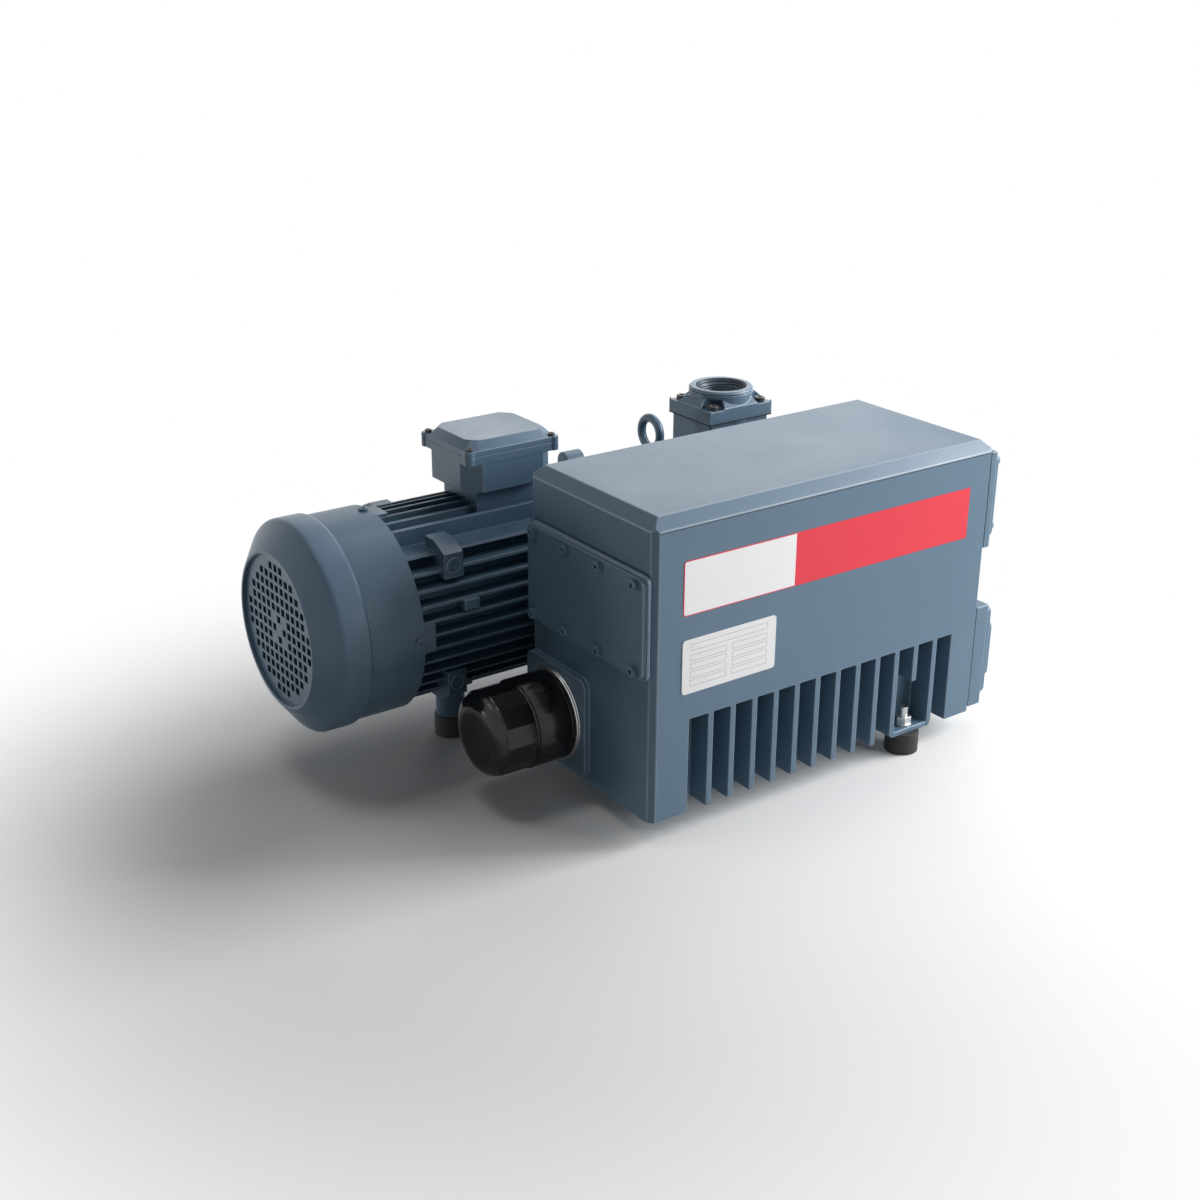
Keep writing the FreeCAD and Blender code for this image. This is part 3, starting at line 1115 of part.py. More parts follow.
def profile_body(name, corners):
    """A body turned about X from a closed outline, each corner bound by formulas for X and the radius."""
    body = doc.addObject("PartDesign::Body", name)
    sketch = plane_sketch(body, "XZ_Plane", name + "Profile")
    count = len(corners)
    for number in range(count):
        start = Vector(number, 10 + number % 2, 0)
        end = Vector((number + 1) % count, 10 + (number + 1) % count % 2, 0)
        sketch.addGeometry(Part.LineSegment(start, end), False)
    for number in range(count):
        sketch.addConstraint(Sketcher.Constraint("Coincident", number, 2, (number + 1) % count, 1))
    for number, (along, radius) in enumerate(corners):
        for kind, formula in (("DistanceX", along), ("DistanceY", radius)):
            index = sketch.addConstraint(Sketcher.Constraint(kind, -1, 1, number, 1, 1.0))
            sketch.setExpression("Constraints[%d]" % index, linked(formula))
    turned = body.newObject("PartDesign::Revolution", name + "Turned")
    turned.Profile = sketch
    turned.ReferenceAxis = (sketch, ["H_Axis"])
    turned.Angle = 360
    body.Tip = turned
    return body


SKIPPED_HOLES = ((0, 0), (-1, 1), (1, 1), (-1, -1), (1, -1))


def make_cowl():
    open_x = "frame_start_x"
    end_x = "(frame_start_x - cowl_length)"
    band_x = "(%s + cowl_cone)" % end_x
    step_x = "(%s + band_length)" % band_x
    disc_x = "(%s + ring_depth)" % end_x
    shell = profile_body("Cowl", [
        (open_x, "cowl_radius"), (step_x, "cowl_radius"), (step_x, "band_radius"), (band_x, "band_radius"),
        (end_x, "ring_radius + ring_width"), (end_x, "ring_radius"), (disc_x, "ring_radius"), (disc_x, "0"),
        (disc_x + " + cowl_wall", "0"), (disc_x + " + cowl_wall", "ring_radius + ring_width"),
        (band_x + " + cowl_wall", "cowl_radius - cowl_wall"), (open_x, "cowl_radius - cowl_wall"),
    ])
    holes = []
    reach = int(SIZE["grille_radius"] / SIZE["grille_pitch"])
    corner = SIZE["grille_hole"] / 2
    for across in range(-reach, reach + 1):
        for upward in range(-reach, reach + 1):
            far_y = abs(across) * SIZE["grille_pitch"] + corner
            far_z = abs(upward) * SIZE["grille_pitch"] + corner
            if (across, upward) in SKIPPED_HOLES or far_y ** 2 + far_z ** 2 > SIZE["grille_radius"] ** 2:
                continue
            holes.append(block("3 * cowl_wall", "grille_hole", "grille_hole", disc_x + " - cowl_wall",
                               "axis_y + %d * grille_pitch - grille_hole / 2" % across,
                               "axis_z + %d * grille_pitch - grille_hole / 2" % upward))
    placed = group(shell)
    place(placed, "0", "axis_y", "axis_z")
    for y, z, along in COWL_SCREWS:
        holes.append(rod("cowl_screw_radius / 2 + 0.2", "2 * cowl_radius + 10", COWL_SCREW_X, y, z, along))
    piece("fan_cowl", cut(placed, group(*holes)))
    for y, z, along, forward in COWL_HEADS:
        motor_screws.append(small_screw(COWL_SCREW_X, y, z, along, forward))


COWL_SCREW_X = "(frame_start_x - shield_thickness / 2)"
COWL_SCREWS = (("axis_y - cowl_radius - 5", "axis_z", "y"), ("axis_y", "axis_z - cowl_radius - 5", "z"))
COWL_HEADS = (
    ("axis_y - cowl_radius", "axis_z", "y", True), ("axis_y + cowl_radius", "axis_z", "y", False),
    ("axis_y", "axis_z - cowl_radius", "z", True), ("axis_y", "axis_z + cowl_radius", "z", False),
)


def small_screw(x, y, z, along, forward):
    """A cowl screw: its head lies on the cowl and its shank goes towards the shaft."""
    shift = 1 if along == "y" else 2
    head, shank = [x, y, z], [x, y, z]
    if forward:
        head[shift] += " - 2"
    else:
        shank[shift] += " - 8"
    return join(rod("cowl_screw_radius", "2", *head, along), rod("cowl_screw_radius / 2", "8", *shank, along))


# Terminal box on top of the motor

def cut_corner_block(length, width, height, z, corner_alias):
    solid = block(length, width, height, "box_x - (%s) / 2" % length, "axis_y - (%s) / 2" % width, z)
    doc.recompute()
    chamfer = doc.addObject("Part::Chamfer", "CutCorners")
    chamfer.Base = solid
    size = SIZE[corner_alias]
    chamfer.Edges = [(number, size, size) for number in edges_along(solid.Shape, ALONG_Z)]
    return chamfer


def make_terminal_box():
    outside = join(cut_corner_block("box_length", "box_width", "box_height", "box_seat_z", "box_cut"),
                   cut_corner_block("box_length", "box_width", "box_rim", "box_seat_z + box_height - box_rim",
                                    "lid_corner"))
    cavity = cut_corner_block("box_length - 2 * box_wall", "box_width - 2 * box_wall", "box_height",
                              "box_seat_z + box_base", "box_cut")
    inside = cut(cavity, block("box_length", "box_step + box_wall", "box_step_height + box_wall",
                               "box_x - box_length / 2", "axis_y + box_width / 2 - box_step - box_wall",
                               "box_seat_z"))
    step = block("box_length + 2", "box_step", "box_step_height", "box_x - box_length / 2 - 1",
                 "axis_y + box_width / 2 - box_step", "box_seat_z")
    top_z = "box_seat_z + box_height"
    lugs = []
    lug_spots = [("box_x + %d * (box_length / 2 - lug_inset)" % across,
                  "axis_y + %d * (box_width / 2 - lug_inset)" % along) for across in (-1, 1)
                  for along in (-1, 1)]
    for x, y in lug_spots:
        lugs.append(rod("lug_radius", "box_rim", x, y, top_z + " - box_rim", "z"))
    gland_z = "box_seat_z + box_step_height + gland_rise"
    gland_hole = rod("gland_radius - 2", "3 * box_wall", "box_x", "axis_y + box_width / 2 - 2 * box_wall",
                     gland_z, "y")
    screw_holes = [rod("bolt_radius / 2 + 0.2", "12", x, y, top_z + " - 8", "z") for x, y in lug_spots]
    piece("terminal_box", cut(join(cut(outside, inside, step), *lugs), gland_hole, *screw_holes))
    gasket = cut(join(cut_corner_block("box_length", "box_width", "lid_gasket", top_z, "lid_corner"),
                      *[rod("lug_radius", "lid_gasket", x, y, top_z, "z") for x, y in lug_spots]),
                 cut_corner_block("box_length - 2 * box_wall", "box_width - 2 * box_wall", "lid_gasket",
                                  top_z, "box_cut"),
                 *[rod("bolt_radius / 2 + 0.2", "lid_gasket", x, y, top_z, "z") for x, y in lug_spots])
    gaskets.append(gasket)
    piece("gaskets", group(*gaskets))
    lid_z = top_z + " + lid_gasket"
    lid = cut_corner_block("box_length + lid_overhang", "box_width + lid_overhang", "lid_height", lid_z,
                           "lid_corner")
    doc.recompute()
    rim = []
    for number, edge in enumerate(lid.Shape.Edges, 1):
        if edge.BoundBox.ZMin > lid.Shape.BoundBox.ZMax - 0.01:
            rim.append((number, SIZE["lid_bevel"], SIZE["lid_bevel"]))
    bevel = doc.addObject("Part::Chamfer", "LidBevel")
    bevel.Base = lid
    bevel.Edges = rim
    lid_lugs = [rod("lug_radius", "5", x, y, lid_z, "z") for x, y in lug_spots]
    pockets = [rod("lug_radius - 0.4", "lid_height", x, y, lid_z + " + 5", "z") for x, y in lug_spots]
    lid_holes = [rod("bolt_radius / 2 + 0.2", "lid_height", x, y, lid_z, "z") for x, y in lug_spots]
    piece("terminal_box_lid", cut(join(bevel, *lid_lugs), *(pockets + lid_holes)))
    screws = [join(rod("lug_radius - 1.2", "2.5", x, y, lid_z + " + 5", "z"),
                   rod("bolt_radius / 2", "12", x, y, lid_z + " - 7", "z")) for x, y in lug_spots]
    motor_screws.extend(screws)
    piece("motor_screws", group(*motor_screws))
    board = block("box_length * 0.45", "box_width * 0.4", "9", "box_x - box_length * 0.225",
                  "axis_y - box_width * 0.2", "box_seat_z + box_base")
    studs = []
    for across in (-1, 0, 1):
        for along in (-1, 1):
            studs.append(rod("2", "9", "box_x + %d * 11" % across, "axis_y + %d * 7" % along,
                             "box_seat_z + box_base + 9", "z"))
    piece("terminal_board", group(board, *studs))
    outer_y = "axis_y + box_width / 2"
    gland = join(rod("gland_radius - 2.3", "box_wall + 1", "box_x", outer_y + " - box_wall", gland_z, "y"),
                 prism("2 * gland_radius", "gland_length", "box_x", outer_y, gland_z, "y"))
    piece("cable_gland", cut(gland, rod("gland_bore", "gland_length * 2 + 10", "box_x",
                                        outer_y + " - box_wall - 1", gland_z, "y")))


make_housing()
make_feet()
make_filter_cover()
make_cartridges()
make_end_covers()
make_oil_filter()
make_float()
make_cylinder()
make_end_plates()
make_rotor()
make_exhaust_valve()
make_intake()
make_lifting_eye()
make_coupling()
make_motor_frame()
make_stator()
make_motor_rotor()
make_shields()
make_bell()
make_cowl()
make_terminal_box()

doc.recompute()
for item in doc.Objects:
    if "Invalid" in item.State or "Error" in item.State:
        raise SystemExit("failed: %s %s" % (item.Label, item.ExpressionEngine))
os.makedirs("parts", exist_ok=True)
for item in pieces:
    shape = item.Shape
    if shape.isNull() or not shape.isValid():
        raise SystemExit("bad shape: " + item.Label)
for item in pieces:
    item.Shape.exportStep("parts/%s.step" % item.Label)
    print(item.Label, len(item.Shape.Solids), round(item.Shape.Volume / 1000, 1), "cm3")
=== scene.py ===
import json
import math
from functools import partial
from types import SimpleNamespace

import bmesh
import bpy
from mathutils import Matrix, Vector


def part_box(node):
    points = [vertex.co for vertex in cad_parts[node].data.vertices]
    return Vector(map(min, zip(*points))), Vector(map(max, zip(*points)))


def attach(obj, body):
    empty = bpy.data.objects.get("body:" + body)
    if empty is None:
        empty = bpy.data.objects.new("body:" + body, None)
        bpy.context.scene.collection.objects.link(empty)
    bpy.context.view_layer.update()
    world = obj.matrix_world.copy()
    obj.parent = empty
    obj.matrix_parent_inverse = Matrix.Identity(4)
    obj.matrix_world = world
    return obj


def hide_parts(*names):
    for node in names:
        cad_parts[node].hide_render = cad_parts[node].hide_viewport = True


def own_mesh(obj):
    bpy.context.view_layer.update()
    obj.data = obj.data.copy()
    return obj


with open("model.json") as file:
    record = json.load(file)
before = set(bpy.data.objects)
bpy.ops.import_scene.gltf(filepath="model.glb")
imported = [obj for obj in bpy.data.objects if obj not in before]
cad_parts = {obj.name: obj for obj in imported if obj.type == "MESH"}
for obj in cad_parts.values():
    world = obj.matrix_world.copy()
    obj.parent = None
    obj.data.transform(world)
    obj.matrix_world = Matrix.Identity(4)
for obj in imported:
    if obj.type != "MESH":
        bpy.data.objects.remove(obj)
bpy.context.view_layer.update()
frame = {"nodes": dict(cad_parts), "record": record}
nodes = frame["nodes"]
record = frame["record"]
bodyOf = {node: body for body, members in record["behaviour"]["bodies"].items() for node in members}
slotOf = {part["node"]: part["material_slot"] for part in record["subparts"]}
mountOf = {mount["name"]: mount for mount in record["mounts"]}
print("frame loaded:", len(nodes), "nodes")

mm = 0.001
mergeGap = 2e-6                 # corners nearer than this, in metres, are one
tinyEdge = 1e-7                 # an edge shorter than this is left out
flatAngle = math.radians(0.3)   # faces that bend less than this are one
filterPad = 5 * mm              # the pad under the oil filter stands out this far from the left face
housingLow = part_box("separator_housing")[0]
corner = Vector((housingLow.x + filterPad, housingLow.y, housingLow.z))
up = Vector((0, 0, 1))
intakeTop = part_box("intake_flange")[1].z


def at(x, y, z):
    # a point in millimetres from the housing's front left bottom corner
    return corner + Vector((x, y, z)) * mm


def newObject(name, data):
    item = bpy.data.objects.new(name, data)
    bpy.context.scene.collection.objects.link(item)
    return item


# Camera at the photograph's place
view = {"place": (-700.91, -920.66, 674.12), "yaw": 35.275, "pitch": 22.512, "roll": 0.224, "lens": 49.938,
        "near": 0.05, "far": 20}


def makeCamera():
    data = bpy.data.cameras.new("camera")
    data.lens = view["lens"]
    data.clip_start, data.clip_end = view["near"], view["far"]
    camera = newObject("camera", data)
    yaw, pitch, roll = (math.radians(view[key]) for key in ("yaw", "pitch", "roll"))
    ahead = Vector((math.sin(yaw) * math.cos(pitch), math.cos(yaw) * math.cos(pitch), -math.sin(pitch)))
    level = Vector((math.cos(yaw), -math.sin(yaw), 0))
    lifted = level.cross(ahead)
    right = level * math.cos(roll) + lifted * math.sin(roll)
    top = right.cross(ahead)
    turned = Matrix((right, top, -ahead)).transposed()
    camera.matrix_world = Matrix.Translation(at(*view["place"])) @ turned.to_4x4()
    bpy.context.scene.camera = camera
    print("camera made")


makeCamera()


# Node tools
nodeGrid = {"perRow": 8, "across": 220, "down": 260}
mixSockets = {"FLOAT": (0, 2, 3, 0), "RGBA": (0, 6, 7, 2)}   # share, first, second and result


def feed(tree, socket, value):
    # an input takes another node's output or a plain value
    if isinstance(value, bpy.types.NodeSocket):
        tree.links.new(value, socket)
    else:
        socket.default_value = value


def addNode(tree, kind, *feeds, **values):
    # values are settings and inputs by name, and feeds fill the inputs in their order
    node = tree.nodes.new(kind)
    row, column = divmod(len(tree.nodes), nodeGrid["perRow"])
    node.location = (column * nodeGrid["across"], -row * nodeGrid["down"])
    for key, value in values.items():
        if hasattr(node, key):
            setattr(node, key, value)
        else:
            feed(tree, node.inputs[key.replace("_", " ")], value)
    for number, value in enumerate(feeds):
        feed(tree, node.inputs[number], value)
    return node


def calculate(tree, operation, *values, **settings):
    return addNode(tree, "ShaderNodeMath", *values, operation=operation, **settings).outputs[0]


def mixed(tree, kind, share, first, second, **settings):
    node = addNode(tree, "ShaderNodeMix", data_type=kind, **settings)
    *slots, result = mixSockets[kind]
    for number, value in zip(slots, (share, first, second)):
        feed(tree, node.inputs[number], value)
    return node.outputs[result]


def mapRange(tree, value, **limits):
    return addNode(tree, "ShaderNodeMapRange", Value=value, **limits).outputs["Result"]


def noise(tree, scale, **values):
    place = addNode(tree, "ShaderNodeTexCoord").outputs["Object"]
    return addNode(tree, "ShaderNodeTexNoise", Vector=place, Scale=scale, **values).outputs["Fac"]


def newTree(kind, name, inputs, outputs):
    # an input has a name, a kind of socket and a first value
    tree = bpy.data.node_groups.new(name, kind)
    for label, socketKind, value in inputs:
        socket = tree.interface.new_socket(label, in_out="INPUT", socket_type="NodeSocket" + socketKind)
        if value is not None:
            socket.default_value = value
    for label, socketKind in outputs:
        tree.interface.new_socket(label, in_out="OUTPUT", socket_type="NodeSocket" + socketKind)
    return tree, addNode(tree, "NodeGroupInput").outputs, addNode(tree, "NodeGroupOutput").inputs


# Effects that the finishes share
bendLimits = {"flat": 0.5, "edgeFrom": 0.505, "hollowFrom": 0.497, "hollowTo": 0.44}


def buildTone():
    # two close colours in soft clouds, with a finer mottle over them
    tree, start, end = newTree("ShaderNodeTree", "finishTone", [
        ("Base", "Color", (0.5, 0.5, 0.5, 1)), ("Second", "Color", (0.5, 0.5, 0.5, 1)),
        ("Cloud Size", "Float", 12.0), ("Mottle Size", "Float", 160.0), ("Mottle", "Float", 0.2),
    ], [("Color", "Color"), ("Mask", "Float")])
    cloud = noise(tree, start["Cloud Size"], Detail=3.0, Roughness=0.55)
    mottle = noise(tree, start["Mottle Size"], Detail=4.0, Roughness=0.6)
    mask = mapRange(tree, mixed(tree, "FLOAT", start["Mottle"], cloud, mottle), From_Min=0.35, From_Max=0.65)
    feed(tree, end["Color"], mixed(tree, "RGBA", mask, start["Base"], start["Second"]))
    feed(tree, end["Mask"], mask)
    return tree


def buildGrain():
    # height of a cast or moulded skin: long soft waves under a fine peel
    tree, start, end = newTree("ShaderNodeTree", "skinGrain", [
        ("Wave Size", "Float", 40.0), ("Peel Size", "Float", 700.0), ("Peel", "Float", 0.5),
    ], [("Height", "Float")])
    wave = noise(tree, start["Wave Size"], Detail=2.0)
    peel = noise(tree, start["Peel Size"], Detail=3.0, Roughness=0.6)
    feed(tree, end["Height"], mixed(tree, "FLOAT", start["Peel"], wave, peel))
    return tree


def buildEdge():
    # a mask of the outer edges, where a highlight is painted, and another of the hollows, where shade is
    # painted, from how the mesh bends
    tree, start, end = newTree("ShaderNodeTree", "edgeMask", [
        ("Width", "Float", 0.06), ("Break", "Float", 0.5), ("Break Size", "Float", 90.0),
    ], [("Edge", "Float"), ("Hollow", "Float")])
    bend = addNode(tree, "ShaderNodeNewGeometry").outputs["Pointiness"]
    # noise breaks the painted edge highlight into patches
    highlightBreakup = noise(tree, start["Break Size"], Detail=5.0, Roughness=0.65)
    high = calculate(tree, "ADD", bendLimits["flat"], start["Width"])
    edge = mapRange(tree, bend, From_Min=bendLimits["edgeFrom"], From_Max=high)
    broken = mixed(tree, "FLOAT", start["Break"], 1.0, highlightBreakup)
    feed(tree, end["Edge"], calculate(tree, "MULTIPLY", edge, broken, use_clamp=True))
    hollow = mapRange(tree, bend, From_Min=bendLimits["hollowFrom"], From_Max=bendLimits["hollowTo"])
    feed(tree, end["Hollow"], hollow)
    return tree


toneGroup, grainGroup, edgeGroup = buildTone(), buildGrain(), buildEdge()

skin = {"cloudSize": 14.0, "mottleSize": 220.0, "mottle": 0.35, "height": 0.4}
# in a finish, the edge colour paints a highlight along outer edges and the hollow darkening paints shade into
# creases
finishes = {
    "housing_paint": dict(
        base=(0.124, 0.203, 0.284), second=(0.114, 0.189, 0.266), rough=(0.34, 0.42), bump=0.05, peel=0.4,
        specular=0.34, edgeHighlightColor=(0.20, 0.27, 0.34), edge=0.12, hollowShade=0.3),
    "motor_paint": dict(
        base=(0.100, 0.172, 0.252), second=(0.090, 0.157, 0.233), rough=(0.30, 0.40), bump=0.06, peel=0.5,
        specular=0.42, edgeHighlightColor=(0.18, 0.25, 0.32), edge=0.12, hollowShade=0.4),
    # lighter copies of the two paints for the rounded edges: a painted highlight
    "housingEdge": dict(
        base=(0.24, 0.32, 0.40), second=(0.20, 0.28, 0.36), rough=(0.28, 0.36), bump=0.03, peel=0.4,
        specular=0.5),
    "motorEdge": dict(
        base=(0.19, 0.26, 0.34), second=(0.15, 0.22, 0.30), rough=(0.28, 0.36), bump=0.03, peel=0.4,
        specular=0.5),
    "foot_rubber": dict(
        base=(0.018, 0.018, 0.019), second=(0.026, 0.025, 0.025), rough=(0.62, 0.78), bump=0.12, peel=0.8,
        edgeHighlightColor=(0.06, 0.06, 0.06), edge=0.5),
    "bright_steel": dict(
        base=(0.56, 0.56, 0.55), second=(0.44, 0.44, 0.45), rough=(0.22, 0.36), bump=0.04, peel=0.6,
        metallic=1.0, edgeHighlightColor=(0.75, 0.75, 0.74), edge=0.5, hollowShade=0.4),
    "spring_steel": dict(
        base=(0.42, 0.43, 0.46), second=(0.34, 0.35, 0.38), rough=(0.28, 0.40), bump=0.03, peel=0.5,
        metallic=1.0, edgeHighlightColor=(0.6, 0.6, 0.62), edge=0.4),
    "filter_fleece": dict(
        base=(0.74, 0.70, 0.60), second=(0.60, 0.56, 0.46), rough=(0.85, 0.95), bump=0.5, peel=0.8,
        sheen=0.3),
    "brass": dict(
        base=(0.62, 0.43, 0.18), second=(0.50, 0.34, 0.14), rough=(0.24, 0.38), bump=0.04, peel=0.5,
        metallic=1.0, edgeHighlightColor=(0.8, 0.6, 0.3), edge=0.4),
    "filter_enamel": dict(
        base=(0.008, 0.008, 0.009), second=(0.011, 0.011, 0.011), rough=(0.12, 0.17), bump=0.01, peel=0.3,
        specular=0.40),
    "cast_iron": dict(
        base=(0.13, 0.13, 0.14), second=(0.09, 0.09, 0.10), rough=(0.45, 0.6), bump=0.2, peel=0.6,
        metallic=0.7),
    "vane_laminate": dict(
        base=(0.10, 0.075, 0.045), second=(0.07, 0.05, 0.03), rough=(0.5, 0.6), bump=0.1, peel=0.6),
    "gasket_sheet": dict(
        base=(0.030, 0.042, 0.052), second=(0.024, 0.034, 0.042), rough=(0.7, 0.85), bump=0.15, peel=0.8),
    "black_plastic": dict(
        base=(0.022, 0.022, 0.024), second=(0.03, 0.03, 0.032), rough=(0.38, 0.5), bump=0.08, peel=0.8,
        edgeHighlightColor=(0.07, 0.07, 0.07), edge=0.4),
    "spider_polymer": dict(
        base=(0.32, 0.03, 0.02), second=(0.25, 0.025, 0.018), rough=(0.4, 0.5), bump=0.05, peel=0.6),
    "copper_winding": dict(
        base=(0.45, 0.17, 0.08), second=(0.36, 0.13, 0.06), rough=(0.3, 0.4), bump=0.3, peel=0.7,
        metallic=0.8),
    "aluminium": dict(
        base=(0.55, 0.55, 0.56), second=(0.45, 0.45, 0.46), rough=(0.35, 0.5), bump=0.1, peel=0.6,
        metallic=1.0),
    "labelWhite": dict(
        base=(0.94, 0.94, 0.95), second=(0.91, 0.91, 0.92), rough=(0.28, 0.34), bump=0.01, peel=0.3),
    "labelRed": dict(
        base=(0.84, 0.032, 0.060), second=(0.80, 0.028, 0.054), rough=(0.28, 0.34), bump=0.01, peel=0.3),
    "plateSilver": dict(
        base=(0.90, 0.90, 0.91), second=(0.85, 0.85, 0.86), rough=(0.32, 0.42), bump=0.015, peel=0.3),
    "blackScrew": dict(
        base=(0.030, 0.031, 0.034), second=(0.040, 0.041, 0.045), rough=(0.3, 0.42), bump=0.05, peel=0.6,
        metallic=0.15, edgeHighlightColor=(0.10, 0.10, 0.11), edge=0.5),
    # darker copies of the paint for the intake bore and the port threads: painted shade
    "boreShade": dict(
        base=(0.018, 0.030, 0.046), second=(0.014, 0.024, 0.038), rough=(0.45, 0.6), bump=0.05, peel=0.5,
        specular=0.3),
    "threadShade": dict(
        base=(0.045, 0.075, 0.115), second=(0.038, 0.064, 0.10), rough=(0.35, 0.5), bump=0.05, peel=0.5),
    # dark blue for the painted shadow strip under the top's bevel
    "seamLine": dict(
        base=(0.018, 0.030, 0.046), second=(0.022, 0.036, 0.054), rough=(0.5, 0.6), bump=0.02, peel=0.3),
    "plateInk": dict(
        base=(0.24, 0.24, 0.26), second=(0.30, 0.30, 0.32), rough=(0.4, 0.5), bump=0.01, peel=0.3),
}
glass = {"colour": (0.95, 0.98, 0.97, 1), "rough": (0.02, 0.06), "cloudSize": 60.0, "bends": 1.5}
materials = {}


def startMaterial(name):
    materials[name] = bpy.data.materials.new(name)
    materials[name].use_nodes = True
    return materials[name].node_tree


def feedShader(tree, values):
    for socket, value in values.items():
        feed(tree, tree.nodes["Principled BSDF"].inputs[socket], value)


def makeFinish(name, base, second, rough, bump, peel, metallic=0.0, sheen=0.0, specular=0.5, edgeHighlightColor=None,
               edge=0.0, hollowShade=0.0):
    tree = startMaterial(name)
    group = partial(addNode, tree, "ShaderNodeGroup")
    tone = group(node_tree=toneGroup, Base=(*base, 1), Second=(*second, 1), Cloud_Size=skin["cloudSize"],
                 Mottle_Size=skin["mottleSize"], Mottle=skin["mottle"]).outputs
    colour = tone["Color"]
    if edge or hollowShade:
        bend = group(node_tree=edgeGroup).outputs
        # painted shade: the hollows are darkened
        if hollowShade:
            shade = (1 - hollowShade, 1 - hollowShade, 1 - hollowShade, 1)
            colour = mixed(tree, "RGBA", bend["Hollow"], colour, shade, blend_type="MULTIPLY")
        # painted highlight: the outer edges are lightened towards a paler colour
        if edge:
            share = calculate(tree, "MULTIPLY", bend["Edge"], edge)
            colour = mixed(tree, "RGBA", share, colour, (*edgeHighlightColor, 1))
    grain = group(node_tree=grainGroup, Peel=peel).outputs["Height"]
    raised = addNode(tree, "ShaderNodeBump", Strength=bump, Distance=skin["height"] * mm, Height=grain)
    feedShader(tree, {
        "Base Color": colour, "Metallic": metallic, "Sheen Weight": sheen, "Specular IOR Level": specular,
        "Roughness": mapRange(tree, tone["Mask"], To_Min=rough[0], To_Max=rough[1]),
        "Normal": raised.outputs["Normal"]})


def makeGlass():
    tree = startMaterial("sight_glass")
    tone = addNode(tree, "ShaderNodeGroup", node_tree=toneGroup, Cloud_Size=glass["cloudSize"]).outputs
    feedShader(tree, {
        "Base Color": glass["colour"], "Transmission Weight": 1.0, "IOR": glass["bends"],
        "Roughness": mapRange(tree, tone["Mask"], To_Min=glass["rough"][0], To_Max=glass["rough"][1])})


for name, finish in finishes.items():
    makeFinish(name, **finish)
makeGlass()
for name, item in nodes.items():
    item.data.materials.clear()
    item.data.materials.append(materials[slotOf[name]])
print("materials made:", len(materials))


# Mesh tools
def addPiece(name, mesh, node, stands=True):
    # a piece that rides with a node; where it stands for the node, that one is hidden
    item = newObject(name, mesh)
    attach(item, bodyOf[node])
    if stands:
        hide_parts(node)
    return item


def plainMesh(item, name):
    # the evaluated shape as a mesh of its own; the object that carried the modifiers goes
    bpy.context.view_layer.update()
    evaluated = item.evaluated_get(bpy.context.evaluated_depsgraph_get())
    mesh = bpy.data.meshes.new_from_object(evaluated)
    mesh.name = name
    bpy.data.objects.remove(item)
    return mesh


def meshFrom(build, name):
    mesh = bpy.data.meshes.new(name)
    build.to_mesh(mesh)
    build.free()
    return mesh


def mergedBuild(node):
    build = bmesh.new()
    build.from_mesh(nodes[node].data)
    bmesh.ops.remove_doubles(build, verts=build.verts, dist=mergeGap)
    return build


def flatMesh(build, name):
    # flat faces in one piece, without the drawing's own shading
    bmesh.ops.dissolve_limit(build, angle_limit=flatAngle, verts=build.verts, edges=build.edges)
    mesh = meshFrom(build, name)
    for extra in ("custom_normal", "sharp_face", "sharp_edge"):
        if extra in mesh.attributes:
            mesh.attributes.remove(mesh.attributes[extra])
    return mesh


# Geometry Nodes trees
def geometryTree(name, inputs):
    shape = ("Geometry", "Geometry")
    return newTree("GeometryNodeTree", name, [(*shape, None), *inputs, ("Finish", "Material", None)], [shape])


def closeTree(tree, start, end, shape):
    # every tree ends with real geometry and its finish
    real = addNode(tree, "GeometryNodeRealizeInstances", Geometry=shape).outputs[0]
    painted = addNode(tree, "GeometryNodeSetMaterial", Geometry=real, Material=start["Finish"])
    feed(tree, end["Geometry"], painted.outputs[0])
    return tree


def shadeByAngle(tree, start, shape):
    # smooth faces, with the edges that bend more than Sharp Above left crisp
    bend = addNode(tree, "GeometryNodeInputMeshEdgeAngle").outputs["Unsigned Angle"]
    over = calculate(tree, "GREATER_THAN", bend, start["Sharp Above"])
    smooth = addNode(tree, "GeometryNodeSetShadeSmooth", domain="FACE", Geometry=shape).outputs[0]
    crisp = addNode(tree, "GeometryNodeSetShadeSmooth", domain="EDGE", Geometry=smooth, Selection=over,
                    Shade_Smooth=False)
    return crisp.outputs[0]


